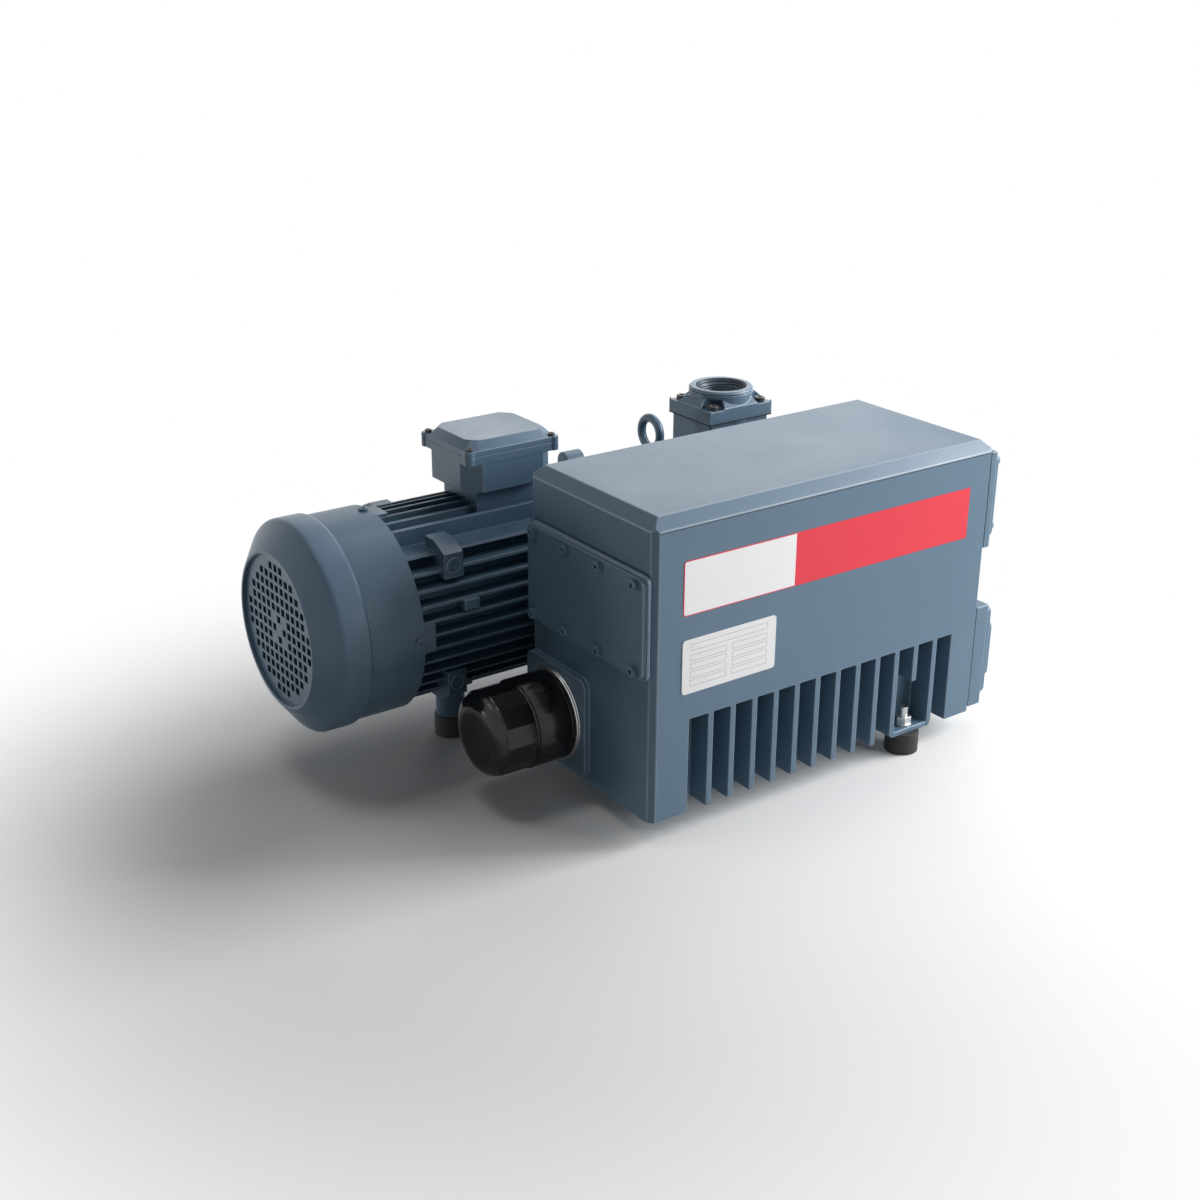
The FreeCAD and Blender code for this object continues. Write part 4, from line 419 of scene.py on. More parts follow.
def buildTurned():
    # turns a profile about X: a point's x lies along it, y is the radius, and z = 1 makes it many-sided
    tree, start, end = geometryTree("turnedBody", [
        ("Around", "Int", 48), ("Flats", "Int", 6), ("Sharp Above", "Float", 0.6),
    ])
    work = partial(calculate, tree)
    rows = addNode(tree, "GeometryNodeAttributeDomainSize", Geometry=start["Geometry"]).outputs["Point Count"]
    grid = addNode(tree, "GeometryNodeMeshGrid", Vertices_X=work("ADD", start["Around"], 1), Vertices_Y=rows)
    index = addNode(tree, "GeometryNodeInputIndex").outputs[0]
    place = addNode(tree, "GeometryNodeInputPosition").outputs[0]
    sample = addNode(tree, "GeometryNodeSampleIndex", data_type="FLOAT_VECTOR", domain="POINT",
                     Geometry=start["Geometry"], Value=place, Index=work("MODULO", index, rows))
    point = addNode(tree, "ShaderNodeSeparateXYZ", sample.outputs[0]).outputs
    column = work("FLOOR", work("DIVIDE", index, rows))
    angle = work("MULTIPLY", work("DIVIDE", column, start["Around"]), math.tau)
    wedge = work("DIVIDE", math.tau, start["Flats"])
    half = work("DIVIDE", wedge, 2)
    local = work("SUBTRACT", work("MODULO", angle, wedge), half)
    flatter = work("DIVIDE", work("COSINE", half), work("COSINE", local))
    change = work("MULTIPLY", work("SUBTRACT", flatter, 1), point["Z"])
    radius = work("MULTIPLY", work("ADD", change, 1), point["Y"])
    across, rise = (work("MULTIPLY", radius, work(way, angle)) for way in ("COSINE", "SINE"))
    moved = addNode(tree, "ShaderNodeCombineXYZ", point["X"], across, rise).outputs[0]
    bent = addNode(tree, "GeometryNodeSetPosition", Geometry=grid.outputs["Mesh"], Position=moved).outputs[0]
    closed = addNode(tree, "GeometryNodeMergeByDistance", Geometry=bent, Distance=mergeGap).outputs[0]
    return closeTree(tree, start, end, shadeByAngle(tree, start, closed))


def buildPlaced():
    # sets a part on each point, its +X along the point's facing, turned about that line by chance
    tree, start, end = geometryTree("placedParts", [
        ("Part", "Object", None), ("Turn", "Float", 6.283), ("Seed", "Int", 4),
    ])
    part = addNode(tree, "GeometryNodeObjectInfo", Object=start["Part"])
    facing = addNode(tree, "GeometryNodeInputNamedAttribute", data_type="FLOAT_VECTOR", Name="facing")
    aimed = addNode(tree, "FunctionNodeAlignRotationToVector", axis="X", Vector=facing.outputs["Attribute"])
    chance = addNode(tree, "FunctionNodeRandomValue", data_type="FLOAT", Seed=start["Seed"])
    feed(tree, chance.inputs[3], start["Turn"])
    spin = addNode(tree, "FunctionNodeAxisAngleToRotation", Axis=(1, 0, 0), Angle=chance.outputs[1])
    both = addNode(tree, "FunctionNodeRotateRotation", rotation_space="LOCAL", Rotation=aimed.outputs[0],
                   Rotate_By=spin.outputs[0])
    spread = addNode(tree, "GeometryNodeInstanceOnPoints", Points=start["Geometry"],
                     Instance=part.outputs["Geometry"], Rotation=both.outputs[0])
    return closeTree(tree, start, end, spread.outputs["Instances"])


def buildThread():
    # a ridge that winds about Z: the input mesh is the ridge's closed section
    tree, start, end = geometryTree("threadTurns", [
        ("Start Radius", "Float", 0.01), ("End Radius", "Float", 0.01), ("Pitch", "Float", 0.002),
        ("Turns", "Float", 5.0), ("Per Turn", "Int", 48), ("Sharp Above", "Float", 0.6),
    ])
    section = addNode(tree, "GeometryNodeMeshToCurve", Mesh=start["Geometry"]).outputs["Curve"]
    spiral = addNode(tree, "GeometryNodeCurveSpiral", Resolution=start["Per Turn"], Rotations=start["Turns"],
                     Start_Radius=start["Start Radius"], End_Radius=start["End Radius"],
                     Height=calculate(tree, "MULTIPLY", start["Turns"], start["Pitch"])).outputs["Curve"]
    level = addNode(tree, "GeometryNodeSetCurveNormal", mode="Z_UP", Curve=spiral).outputs["Curve"]
    ridge = addNode(tree, "GeometryNodeCurveToMesh", Curve=level, Profile_Curve=section, Fill_Caps=True)
    return closeTree(tree, start, end, shadeByAngle(tree, start, ridge.outputs["Mesh"]))


turnedTree, placedTree, threadTree = buildTurned(), buildPlaced(), buildThread()
print("geometry trees made")


def runTree(name, mesh, tree, finish, **sizes):
    item = newObject(name + "Work", mesh)
    maker = item.modifiers.new("maker", "NODES")
    maker.node_group = tree
    values = {key.replace("_", " "): value for key, value in sizes.items()}
    values["Finish"] = materials[finish]
    for socket in tree.interface.items_tree:
        if socket.item_type == "SOCKET" and socket.in_out == "INPUT" and socket.name in values:
            maker[socket.identifier] = values[socket.name]
    mesh = plainMesh(item, name)
    setFinish(mesh, finish)
    return mesh


def setFinish(mesh, *names):
    # the finishes of a mesh, all its faces in the first
    mesh.materials.clear()
    for name in names:
        mesh.materials.append(materials[name])
    mesh.polygons.foreach_set("material_index", [0] * len(mesh.polygons))


def pointMesh(name, points, facing=None):
    mesh = bpy.data.meshes.new(name)
    mesh.from_pydata([tuple(point) for point in points], [], [])
    if facing:
        attribute = mesh.attributes.new("facing", "FLOAT_VECTOR", "POINT")
        attribute.data.foreach_set("vector", [value for way in facing for value in way])
    return mesh


def turned(name, profile, finish, around=48, flats=6, sharp=0.6):
    # profile rows in millimetres: along, radius, and 1 where the section is many-sided
    mesh = pointMesh(name + "Profile", [(along * mm, radius * mm, flat) for along, radius, flat in profile])
    result = runTree(name, mesh, turnedTree, finish, Around=around, Flats=flats, Sharp_Above=sharp)
    build = bmesh.new()
    build.from_mesh(result)
    bmesh.ops.dissolve_degenerate(build, dist=tinyEdge, edges=build.edges)
    bmesh.ops.recalc_face_normals(build, faces=build.faces)
    build.to_mesh(result)
    build.free()
    return result


def moveOnto(mesh, node):
    # a turned shape starts at the node's left end, on its middle line
    low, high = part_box(node)
    mesh.transform(Matrix.Translation((low.x, (low.y + high.y) / 2, (low.z + high.z) / 2)))
    return mesh


def lengthOf(node):
    low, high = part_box(node)
    return (high.x - low.x) / mm


def aimMatrix(place, facing, axis="X", top="Z"):
    return Matrix.Translation(place) @ Vector(facing).to_track_quat(axis, top).to_matrix().to_4x4()


def joined(name, meshes):
    # one mesh of several, each with the material that it had
    build = bmesh.new()
    finishesUsed = []
    for mesh in meshes:
        before = len(build.faces)
        build.from_mesh(mesh)
        for material in mesh.materials:
            if material not in finishesUsed:
                finishesUsed.append(material)
        build.faces.ensure_lookup_table()
        for number in range(before, len(build.faces)):
            face = build.faces[number]
            face.material_index = finishesUsed.index(mesh.materials[face.material_index])
    result = meshFrom(build, name)
    for material in finishesUsed:
        result.materials.append(material)
    return result


# Screws: places, directions and sizes are read from the drawing's own screws
# shares of the head
hexSocket = {"radius": 0.44, "depth": 0.55, "floor": 0.12, "mouth": 1.14, "round": 0.09}
lidScrew = {"below": 3.5, "shift": 2.4}   # a smaller head holds the lid, and stands further out on its ears


def looseParts(node):
    build = mergedBuild(node)
    build.verts.index_update()
    seen = set()
    parts = []
    for first in build.verts:
        if first.index in seen:
            continue
        seen.add(first.index)
        waiting, found = [first], []
        while waiting:
            vert = waiting.pop()
            found.append(vert.co.copy())
            for edge in vert.link_edges:
                other = edge.other_vert(vert)
                if other.index not in seen:
                    seen.add(other.index)
                    waiting.append(other)
        parts.append(found)
    build.free()
    return parts


def readScrew(points):
    low = Vector([min(point[axis] for point in points) for axis in range(3)])
    high = Vector([max(point[axis] for point in points) for axis in range(3)])
    middle = (low + high) / 2
    span = high - low
    along = min(range(3), key=lambda axis: abs(span[(axis + 1) % 3] - span[(axis + 2) % 3]))
    others = [axis for axis in range(3) if axis != along]
    reach = [math.hypot(point[others[0]] - middle[others[0]], point[others[1]] - middle[others[1]])
             for point in points]
    head = max(reach)
    onHead = [point[along] for point, far in zip(points, reach) if far > 0.97 * head]
    shank = max([far for far in reach if far < 0.8 * head], default=head * 0.6)
    outward = 1 if sum(onHead) / len(onHead) > middle[along] else -1
    facing = Vector((0, 0, 0))
    facing[along] = outward
    top = middle.copy()
    top[along] = max(onHead) if outward > 0 else min(onHead)
    size = [round(value / mm, 1) for value in (head, max(onHead) - min(onHead), shank, span[along])]
    return top, facing, tuple(size)


def screwProfile(head, height, shank, length):
    size = SimpleNamespace(**hexSocket)
    soft, hole, deep = size.round * head, size.radius * head, size.depth * height
    return [(-deep, 0, 0), (-deep, hole, 1), (-size.floor * head, hole, 1), (0, hole * size.mouth, 0),
            (0, head - 1.8 * soft, 0), (-0.3 * soft, head - 0.7 * soft, 0), (-1.1 * soft, head, 0),
            (soft - height, head, 0), (-height, head - 0.6 * soft, 0), (-height, shank, 0),
            (0.8 - length, shank, 0), (-length, shank - 0.6, 0), (-length, 0, 0)]


def placeParts(name, shape, spots, finish, turn, seed):
    # copies of a shape at places and facings, as one mesh
    part = bpy.data.objects.new(name + "Part", shape)
    mesh = pointMesh(name + "Spots", [place for place, facing in spots], [facing for place, facing in spots])
    result = runTree(name, mesh, placedTree, finish, Part=part, Turn=turn, Seed=seed)
    bpy.data.objects.remove(part)
    return result


def makeScrews(node, name, finishFor, headShare=1.0):
    groups = {}
    lidLow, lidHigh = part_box("terminal_box_lid")
    for points in looseParts(node):
        top, facing, size = readScrew(points)
        if node == "motor_screws" and facing.z > 0.9 and size[0] < lidScrew["below"]:
            for axis in range(2):
                side = 1 if top[axis] > (lidLow[axis] + lidHigh[axis]) / 2 else -1
                top[axis] += lidScrew["shift"] * mm * side
        groups.setdefault(size, []).append((top, facing))
    meshes = []
    for number, (size, spots) in enumerate(sorted(groups.items())):
        finish = finishFor(size[0])
        size = (size[0] * headShare, *size[1:])
        shape = turned("%sShape%d" % (name, number), screwProfile(*size), finish, around=36, sharp=0.5)
        meshes.append(placeParts("%s%d" % (name, number), shape, spots, finish, math.tau, 4 + number))
    addPiece(name, joined(name, meshes), node)


makeScrews("housing_cover_screws", "housingCoverScrews", lambda head: "housing_paint", headShare=0.86)
makeScrews("pump_screws", "pumpScrews", lambda head: "blackScrew")
makeScrews("motor_screws", "motorScrews",
           lambda head: "motor_paint" if head > lidScrew["below"] else "blackScrew")
print("screws made")


# Spin-on oil filter: a turned can with a band of flats, and its base ring
canister = {"tipInset": 7.0, "tipRadius": 19.5, "domeLength": 17.0, "domeRadius": 35.2, "domeSteps": 14,
            "flatRadius": 37.4, "flatLength": 28.5, "flats": 14, "groove": 1.3, "bodyRadius": 38.4,
            "seamLength": 3.4, "seamRadius": 38.5}
filterBase = {"beads": (0.9, 2.9), "beadRadius": 0.75, "beadSteps": 6, "hole": 10}


def makeCanister():
    size = SimpleNamespace(**canister)
    whole = lengthOf("oil_filter_canister")
    tip, dome, body, rim = size.tipInset, size.domeLength, size.bodyRadius, size.seamRadius
    profile = [(tip + 0.9, 0, 0), (tip + 0.9, 8, 0), (tip + 0.5, size.tipRadius - 7, 0)]
    for step in range(size.domeSteps + 1):
        angle = math.radians(90 * step / size.domeSteps)
        profile.append((tip + (dome - tip - 1.8) * (1 - math.cos(angle)),
                        size.tipRadius + (size.domeRadius - size.tipRadius) * math.sin(angle), 0))
    flatEnd = dome + size.flatLength
    grooveEnd = flatEnd + size.groove
    seam = whole - size.seamLength
    profile += [(dome - 1.2, size.domeRadius + 0.1, 0), (dome - 0.6, size.flatRadius - 1.2, 0),
                (dome, size.flatRadius - 0.5, 1), (dome + 0.8, size.flatRadius, 1),
                (flatEnd - 0.8, size.flatRadius, 1), (flatEnd - 0.2, size.flatRadius - 0.6, 1),
                (flatEnd, body - 2.0, 0), (grooveEnd, body - 1.6, 0), (grooveEnd + 0.5, body - 0.3, 0),
                (grooveEnd + 1.2, body, 0), (seam - 1.4, body, 0), (seam - 0.6, body - 0.9, 0),
                (seam, body - 0.9, 0), (seam + 0.5, rim - 0.2, 0), (seam + 1.1, rim, 0),
                (whole - 1.0, rim, 0), (whole - 0.2, rim - 0.7, 0), (whole, rim - 1.6, 0), (whole, 0, 0)]
    mesh = turned("oilFilterCan", profile, "filter_enamel", around=112, flats=size.flats, sharp=0.42)
    addPiece("oilFilterCan", moveOnto(mesh, "oil_filter_canister"), "oil_filter_canister")


def makeFilterBase():
    size = SimpleNamespace(**filterBase)
    low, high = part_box("oil_filter_ring")
    whole = lengthOf("oil_filter_ring")
    radius = (high.z - low.z) / 2 / mm
    profile = [(0, size.hole, 0), (0, radius - 1.5, 0)]
    for start in size.beads:
        for step in range(size.beadSteps + 1):
            angle = math.pi * step / size.beadSteps
            profile.append((start - size.beadRadius * math.cos(angle),
                            radius - size.beadRadius + size.beadRadius * math.sin(angle), 0))
    profile += [(whole, radius - 1.2, 0), (whole, size.hole, 0), (0, size.hole, 0)]
    mesh = turned("oilFilterBase", profile, "bright_steel", around=96)
    addPiece("oilFilterBase", moveOnto(mesh, "oil_filter_ring"), "oil_filter_ring")


makeCanister()
makeFilterBase()
print("oil filter made")


# Threads in the ports; the intake's runs on into its mouth
thread = {"pitch": 2.31, "ridge": 0.62, "flank": 0.42, "perTurn": 56}
mouthThread = {"radii": (20.0, 23.4), "length": 8.4, "depth": 4.8}


def sectionMesh(name, points):
    # a closed line through points across the ridge
    mesh = bpy.data.meshes.new(name + "Section")
    count = len(points)
    edges = [(number, (number + 1) % count) for number in range(count)]
    mesh.from_pydata([(*point, 0) for point in points], edges, [])
    return mesh


def makeThread(name, place, axis, radii, length):
    pitch, ridge = thread["pitch"] * mm, thread["ridge"] * mm
    flank = pitch * thread["flank"]
    turns = length / thread["pitch"] - 1
    section = sectionMesh(name, [(ridge, 0), (0, flank), (-ridge, 0), (0, -flank)])
    mesh = runTree(name, section, threadTree, "threadShade", Start_Radius=radii[0] * mm,
                   End_Radius=radii[1] * mm, Pitch=pitch, Turns=turns, Per_Turn=thread["perTurn"])
    way = Vector(axis).normalized()
    mesh.transform(aimMatrix(Vector(place) - way * turns * pitch / 2, way, "Z", "Y"))
    addPiece(name, mesh, "separator_housing", stands=False)


def makeThreads():
    for name in ("intake", "outlet"):
        mount = mountOf[name + "_port"]
        radius, length = mount["dims"]["r_mm"], mount["dims"]["length_mm"]
        makeThread(name + "Thread", mount["pos_m"], mount["axis"], (radius, radius), length)
    x, y, z = mountOf["intake_port"]["pos_m"]
    mouth = Vector((x, y, intakeTop - mouthThread["depth"] * mm))
    makeThread("intakeMouthThread", mouth, up, mouthThread["radii"], mouthThread["length"])


makeThreads()
print("threads made")


# The intake valve's spring is a wound wire; the real one shortens as the valve moves down, but this one keeps
# its drawn length
valveSpring = {"wire": 1.6, "turns": 6.0, "sides": 8, "perTurn": 24, "travel": 6.0, "spare": 0.05}


def makeValveSpring():
    low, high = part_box("valve_spring")
    size = SimpleNamespace(**valveSpring)
    wire = size.wire / 2 * mm
    corners = [math.tau * number / size.sides for number in range(size.sides)]
    section = sectionMesh("valveSpring", [(wire * math.cos(turn), wire * math.sin(turn)) for turn in corners])
    tall = high.z - low.z
    mean = (high.x - low.x) / 2 - wire
    mesh = runTree("intakeValveSpring", section, threadTree, "spring_steel", Start_Radius=mean,
                   End_Radius=mean, Pitch=(tall - 2 * wire) / size.turns, Turns=size.turns,
                   Per_Turn=size.perTurn)
    base = Vector(((low.x + high.x) / 2, (low.y + high.y) / 2, low.z))
    mesh.transform(Matrix.Translation(base + up * wire))
    item = addPiece("intakeValveSpring", mesh, "valve_spring")
    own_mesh(item)


makeValveSpring()
print("valve spring made")


# Castings and covers with their sharp edges rounded, in millimetres
softEdges = {
    "separator_housing": 0.9, "filter_cover": 0.7, "outlet_cover": 0.8, "sump_cover": 0.8,
    "pump_cylinder": 0.7, "side_plate_motor_side": 0.6, "side_plate_outer": 0.6, "bearing_cap": 0.7,
    "intake_flange": 0.6,
    "coupling_housing": 0.7, "motor_frame": 0.45, "drive_shield": 0.6, "rear_shield": 0.6,
    "terminal_box": 0.5, "motor_foot_pillar": 0.5, "rubber_feet": 0.9, "lifting_eye": 0.2,
    "oil_plugs": 0.4, "cable_gland": 0.3, "exhaust_stop": 0.2, "foot_fasteners": 0.25,
}
edgeRound = {"segments": 2, "above": 38, "weight": 90}
# each paint's lighter copy for its rounded edges, a painted highlight
edgeHighlightFinish = {"housing_paint": "housingEdge", "motor_paint": "motorEdge"}
# the intake's thread runs out in a deeper, steeper mouth than the drawing's chamfer
intakeMouth = {"chamfer": 3.7, "deep": 8.3, "outer": 24.4, "shadeFrom": 0.55}


def softened(name, mesh, width, finish):
    # the rounded edges take a lighter copy of the paint: a painted highlight
    setFinish(mesh, finish, edgeHighlightFinish.get(finish, finish))
    mesh.shade_smooth()
    item = newObject(name + "Work", mesh)
    bevel = item.modifiers.new("edges", "BEVEL")
    bevel.width = width * mm
    bevel.segments = edgeRound["segments"]
    bevel.limit_method = "ANGLE"
    bevel.angle_limit = math.radians(edgeRound["above"])
    bevel.use_clamp_overlap = False
    bevel.material = 1
    evened = item.modifiers.new("shading", "WEIGHTED_NORMAL")
    evened.keep_sharp = True
    evened.weight = edgeRound["weight"]
    return plainMesh(item, name)


def fromIntake(point):
    # how far a point is from the intake's middle line, and how deep under its top, in millimetres
    x, y, z = mountOf["intake_port"]["pos_m"]
    return math.hypot(point.x - x, point.y - y) / mm, (intakeTop - point.z) / mm


def deepenMouth(mesh):
    inner = mountOf["intake_port"]["dims"]["r_mm"] - 0.2
    for vert in mesh.vertices:
        far, depth = fromIntake(vert.co)
        if inner < far < intakeMouth["outer"] + 0.1 and depth < intakeMouth["chamfer"] + 0.2:
            vert.co.z -= depth * (intakeMouth["deep"] / intakeMouth["chamfer"] - 1) * mm


def shadeBore(mesh):
    # painted shade: the bore's wall is darker than the paint outside
    mesh.materials.append(materials["boreShade"])
    for face in mesh.polygons:
        far, depth = fromIntake(face.center)
        if far < intakeMouth["outer"] - 0.3 and depth > intakeMouth["shadeFrom"]:
            face.material_index = len(mesh.materials) - 1


for node, width in softEdges.items():
    mesh = flatMesh(mergedBuild(node), node + "Soft")
    if node == "intake_flange":
        deepenMouth(mesh)
    rounded = softened(node + "Soft", mesh, width, slotOf[node])
    if node == "intake_flange":
        shadeBore(rounded)
    addPiece(node + "Soft", rounded, node)
print("castings softened:", len(softEdges))


# Fan cowl: a turned shell around the drawing's own perforated disc
cowl = {"ringInner": 65.0, "ringOuter": 68.0, "disc": 3.5, "wall": 2.0, "cone": 17.4, "band": 25.0,
        "bandRadius": 91.19, "radius": 88.6, "bend": 7.0, "bendSteps": 7, "lip": 63.8, "endSteps": 5}


def cowlProfile(whole):
    size = SimpleNamespace(**cowl)
    inner, rim, disc, radius, cone = size.ringInner, size.ringOuter, size.disc, size.radius, size.cone
    profile = [(disc - 0.05, size.lip, 0), (disc - 0.05, inner - 0.3, 0), (disc - 0.4, inner, 0),
               (0.7, inner, 0), (0.2, inner + 0.3, 0), (0, inner + 0.8, 0), (0, rim - 0.9, 0),
               (0.25, rim - 0.3, 0), (0.75, rim + 0.55, 0)]
    tilt = math.atan2(size.bandRadius - rim, cone)
    reach = size.bend * math.tan(tilt / 2)
    for step in range(size.bendSteps + 1):
        angle = tilt * (1 - step / size.bendSteps)
        profile.append((cone + reach - size.bend * math.sin(angle),
                        size.bandRadius - size.bend * (1 - math.cos(angle)), 0))
    end = cone + size.band
    drop = size.bandRadius - radius
    for step in range(size.endSteps + 1):
        angle = math.radians(90 - 75 * step / size.endSteps)
        profile.append((end - drop + drop * math.cos(angle), radius + drop * math.sin(angle), 0))
    inside = radius - size.wall
    return profile + [(end + 0.9, radius, 0), (whole - 0.5, radius, 0), (whole, radius - 0.5, 0),
                      (whole, inside, 0), (cone + size.wall, inside, 0), (disc + size.wall, rim, 0)]


def makeCowl():
    profile = cowlProfile(lengthOf("fan_cowl"))
    shell = moveOnto(turned("cowlShell", profile, "motor_paint", around=180, sharp=0.5), "fan_cowl")
    low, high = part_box("fan_cowl")
    middle = (low + high) / 2
    build = mergedBuild("fan_cowl")
    outer = (cowl["ringInner"] - 0.5) * mm
    away = [face for face in build.faces
            if min(math.hypot(vert.co.y - middle.y, vert.co.z - middle.z) for vert in face.verts) > outer]
    bmesh.ops.delete(build, geom=away, context="FACES")
    grille = flatMesh(build, "cowlGrille")
    grille.shade_flat()
    setFinish(grille, "motor_paint")
    addPiece("fanCowlShell", joined("fanCowlShell", [shell, grille]), "fan_cowl")


makeCowl()
print("fan cowl made")


# Terminal box lid: a square rim with eared corners under a raised top with cut corners
lidShape = {"rim": 5.0, "bevel": 7.0, "cut": 13.0, "inset": 0.8, "round": 2.2, "ear": 4.6, "earInset": 4.0,
            "boxRim": 7.2, "parting": 0.05, "sunk": 1.0}


def cutOutline(low, high, inset, cut, z):
    left, right, front, back = low.x + inset, high.x - inset, low.y + inset, high.y - inset
    return [(left + cut, front, z), (right - cut, front, z), (right, front + cut, z), (right, back - cut, z),
            (right - cut, back, z), (left + cut, back, z), (left, back - cut, z), (left, front + cut, z)]



def loftMesh(name, rings):
    # a closed solid through outlines of as many points each
    build = bmesh.new()
    loops = [[build.verts.new(point) for point in ring] for ring in rings]
    build.faces.new(loops[0][::-1])
    build.faces.new(loops[-1])
    for lower, upper in zip(loops, loops[1:]):
        for number in range(len(lower)):
            after = (number + 1) % len(lower)
            build.faces.new((lower[number], lower[after], upper[after], upper[number]))
    bmesh.ops.recalc_face_normals(build, faces=build.faces)
    return meshFrom(build, name)


def rimWithEars(name, low, high, bottom, top, over):
    # the square rim between two heights, softened, and a round post in each corner
    size = SimpleNamespace(**lidShape)
    rings = [cutOutline(low, high, size.inset * mm, size.round * mm, z) for z in (bottom, top)]
    meshes = [softened(name, loftMesh(name, rings), 0.4, "motor_paint")]
    tall = (top - bottom) / mm + over
    profile = [(0, 0, 0), (0, size.ear - 0.4, 0), (0.4, size.ear, 0), (tall - 0.4, size.ear, 0),
               (tall, size.ear - 0.4, 0), (tall, 0, 0)]
    for x, inX in ((low.x, 1), (high.x, -1)):
        for y, inY in ((low.y, 1), (high.y, -1)):
            post = turned("ear", profile, "motor_paint", around=28)
            spot = Vector((x + inX * size.earInset * mm, y + inY * size.earInset * mm, bottom))
            post.transform(aimMatrix(spot, up))
            meshes.append(post)
    return meshes


def makeLid():
    low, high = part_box("terminal_box_lid")
    size = SimpleNamespace(**lidShape)
    rimTop = low.z + size.rim * mm
    parting = size.parting * mm
    rim = rimWithEars("lidRim", low, high, low.z + parting, rimTop, 0.1)
    lower = rimWithEars("boxRim", low, high, low.z - size.boxRim * mm, low.z - parting, 0)
    inset, cut = (size.inset + 0.2) * mm, size.cut * mm
    # the bevel keeps the cut corners' edges parallel
    upperCut = (size.cut - size.bevel * (2 - math.sqrt(2))) * mm
    top = loftMesh("lidTop", [cutOutline(low, high, inset, cut, rimTop - size.sunk * mm),
                              cutOutline(low, high, inset, cut, rimTop),
                              cutOutline(low, high, inset + size.bevel * mm, upperCut, high.z)])
    rim.insert(1, softened("lidTop", top, 0.5, "motor_paint"))
    addPiece("terminalLid", joined("terminalLid", rim), "terminal_box_lid")
    addPiece("terminalBoxRim", joined("terminalBoxRim", lower), "terminal_box", stands=False)


makeLid()
print("terminal box lid made")


# Painted-over tapped holes in the motor's foot pads
padHole = {"x": -63.6, "axisY": 261.4, "axisZ": 123.6, "reach": 74.4, "rise": 53.0, "radius": 4.95}


def makePadHoles():
    size = SimpleNamespace(**padHole)
    radius = size.radius
    profile = [(-3, 0, 0), (-3, radius, 0), (-0.5, radius, 0), (-0.5, radius - 0.6, 0),
               (-1.1, radius - 0.9, 0), (-1.1, radius - 1.6, 0), (-0.6, radius - 1.9, 0), (-0.6, 0, 0)]
    shape = turned("padHoleShape", profile, "motor_paint", around=32)
    spots = [(at(size.x, size.axisY + side * size.reach, size.axisZ + level * size.rise), (0, side, 0))
             for side in (-1, 1) for level in (-1, 1)]
    mesh = placeParts("padHoles", shape, spots, "motor_paint", 0.0, 1)
    addPiece("padHoles", mesh, "motor_frame", stands=False)


makePadHoles()
print("pad holes made")


# Printed panel and nameplate on the front
banner = {"left": 28.3, "right": 337.5, "bottom": 173.8, "top": 219.5, "split": 141.1, "thick": 0.25,
          "round": 2.6, "border": 0.8, "print": 0.05}
plate = {"left": 28.3, "right": 123.3, "bottom": 107.3, "top": 153.5, "thick": 0.6, "round": 3.0,
         "line": 0.28, "print": 0.03}
# plain empty boxes: their first place, step and size, and a long one above them
fields = {"columns": 2, "rows": 4, "first": (8, 6), "step": (42, 7.2), "size": (36, 5.2),
          "long": (8, 36.5, 78, 5.4)}
# the painted shadow strip under the top's bevel, in millimetres
seam = {"left": 5.6, "right": 359.4, "bottom": 245.9, "top": 246.7, "print": 0.03}
smallGap = 0.02


def roundedOutline(left, right, bottom, top, radii, steps=6):
    # corner order: bottom left, bottom right, top right, top left
    points = []
    spots = ((left, bottom, 180, 1, 1), (right, bottom, 270, -1, 1), (right, top, 0, -1, -1),
             (left, top, 90, 1, -1))
    for (x, z, start, inX, inZ), radius in zip(spots, radii):
        count = steps if radius else 0
        for step in range(count + 1):
            angle = math.radians(start + 90 * step / max(count, 1))
            points.append((x + radius * (inX + math.cos(angle)), z + radius * (inZ + math.sin(angle))))
    return points


def platesToPiece(name, outlines, thick, y, finish):
    # flat plates on the front face, from their outlines in X and Z
    build = bmesh.new()
    for outline in outlines:
        back = [build.verts.new(at(x, -y, z)) for x, z in outline]
        face = [build.verts.new(at(x, -y - thick, z)) for x, z in outline]
        build.faces.new(face)
        build.faces.new(back[::-1])
        for number in range(len(outline)):
            after = (number + 1) % len(outline)
            build.faces.new((back[number], back[after], face[after], face[number]))
    bmesh.ops.recalc_face_normals(build, faces=build.faces)
    mesh = meshFrom(build, name)
    mesh.materials.append(materials[finish])
    addPiece(name, mesh, "separator_housing", stands=False)


def makeBanner():
    left, right, bottom, top = (banner[key] for key in ("left", "right", "bottom", "top"))
    radius, rim = banner["round"], banner["border"]
    redWhole = roundedOutline(left, right, bottom, top, (radius, 0, 0, radius))
    platesToPiece("bannerRed", [redWhole], banner["thick"], smallGap, "labelRed")
    radii = (radius - rim, 0, 0, radius - rim)
    white = roundedOutline(left + rim, banner["split"], bottom + rim, top - rim, radii)
    platesToPiece("bannerWhite", [white], banner["print"], smallGap + banner["thick"], "labelWhite")


def squareOutline(left, bottom, right, top):
    return [(left, bottom), (right, bottom), (right, top), (left, top)]


def boxLines(x, z, width, height):
    # the four thin sides of an empty box
    line, right, top = plate["line"], x + width, z + height
    return [squareOutline(x, z, right, z + line), squareOutline(x, top - line, right, top),
            squareOutline(x, z + line, x + line, top - line),
            squareOutline(right - line, z + line, right, top - line)]


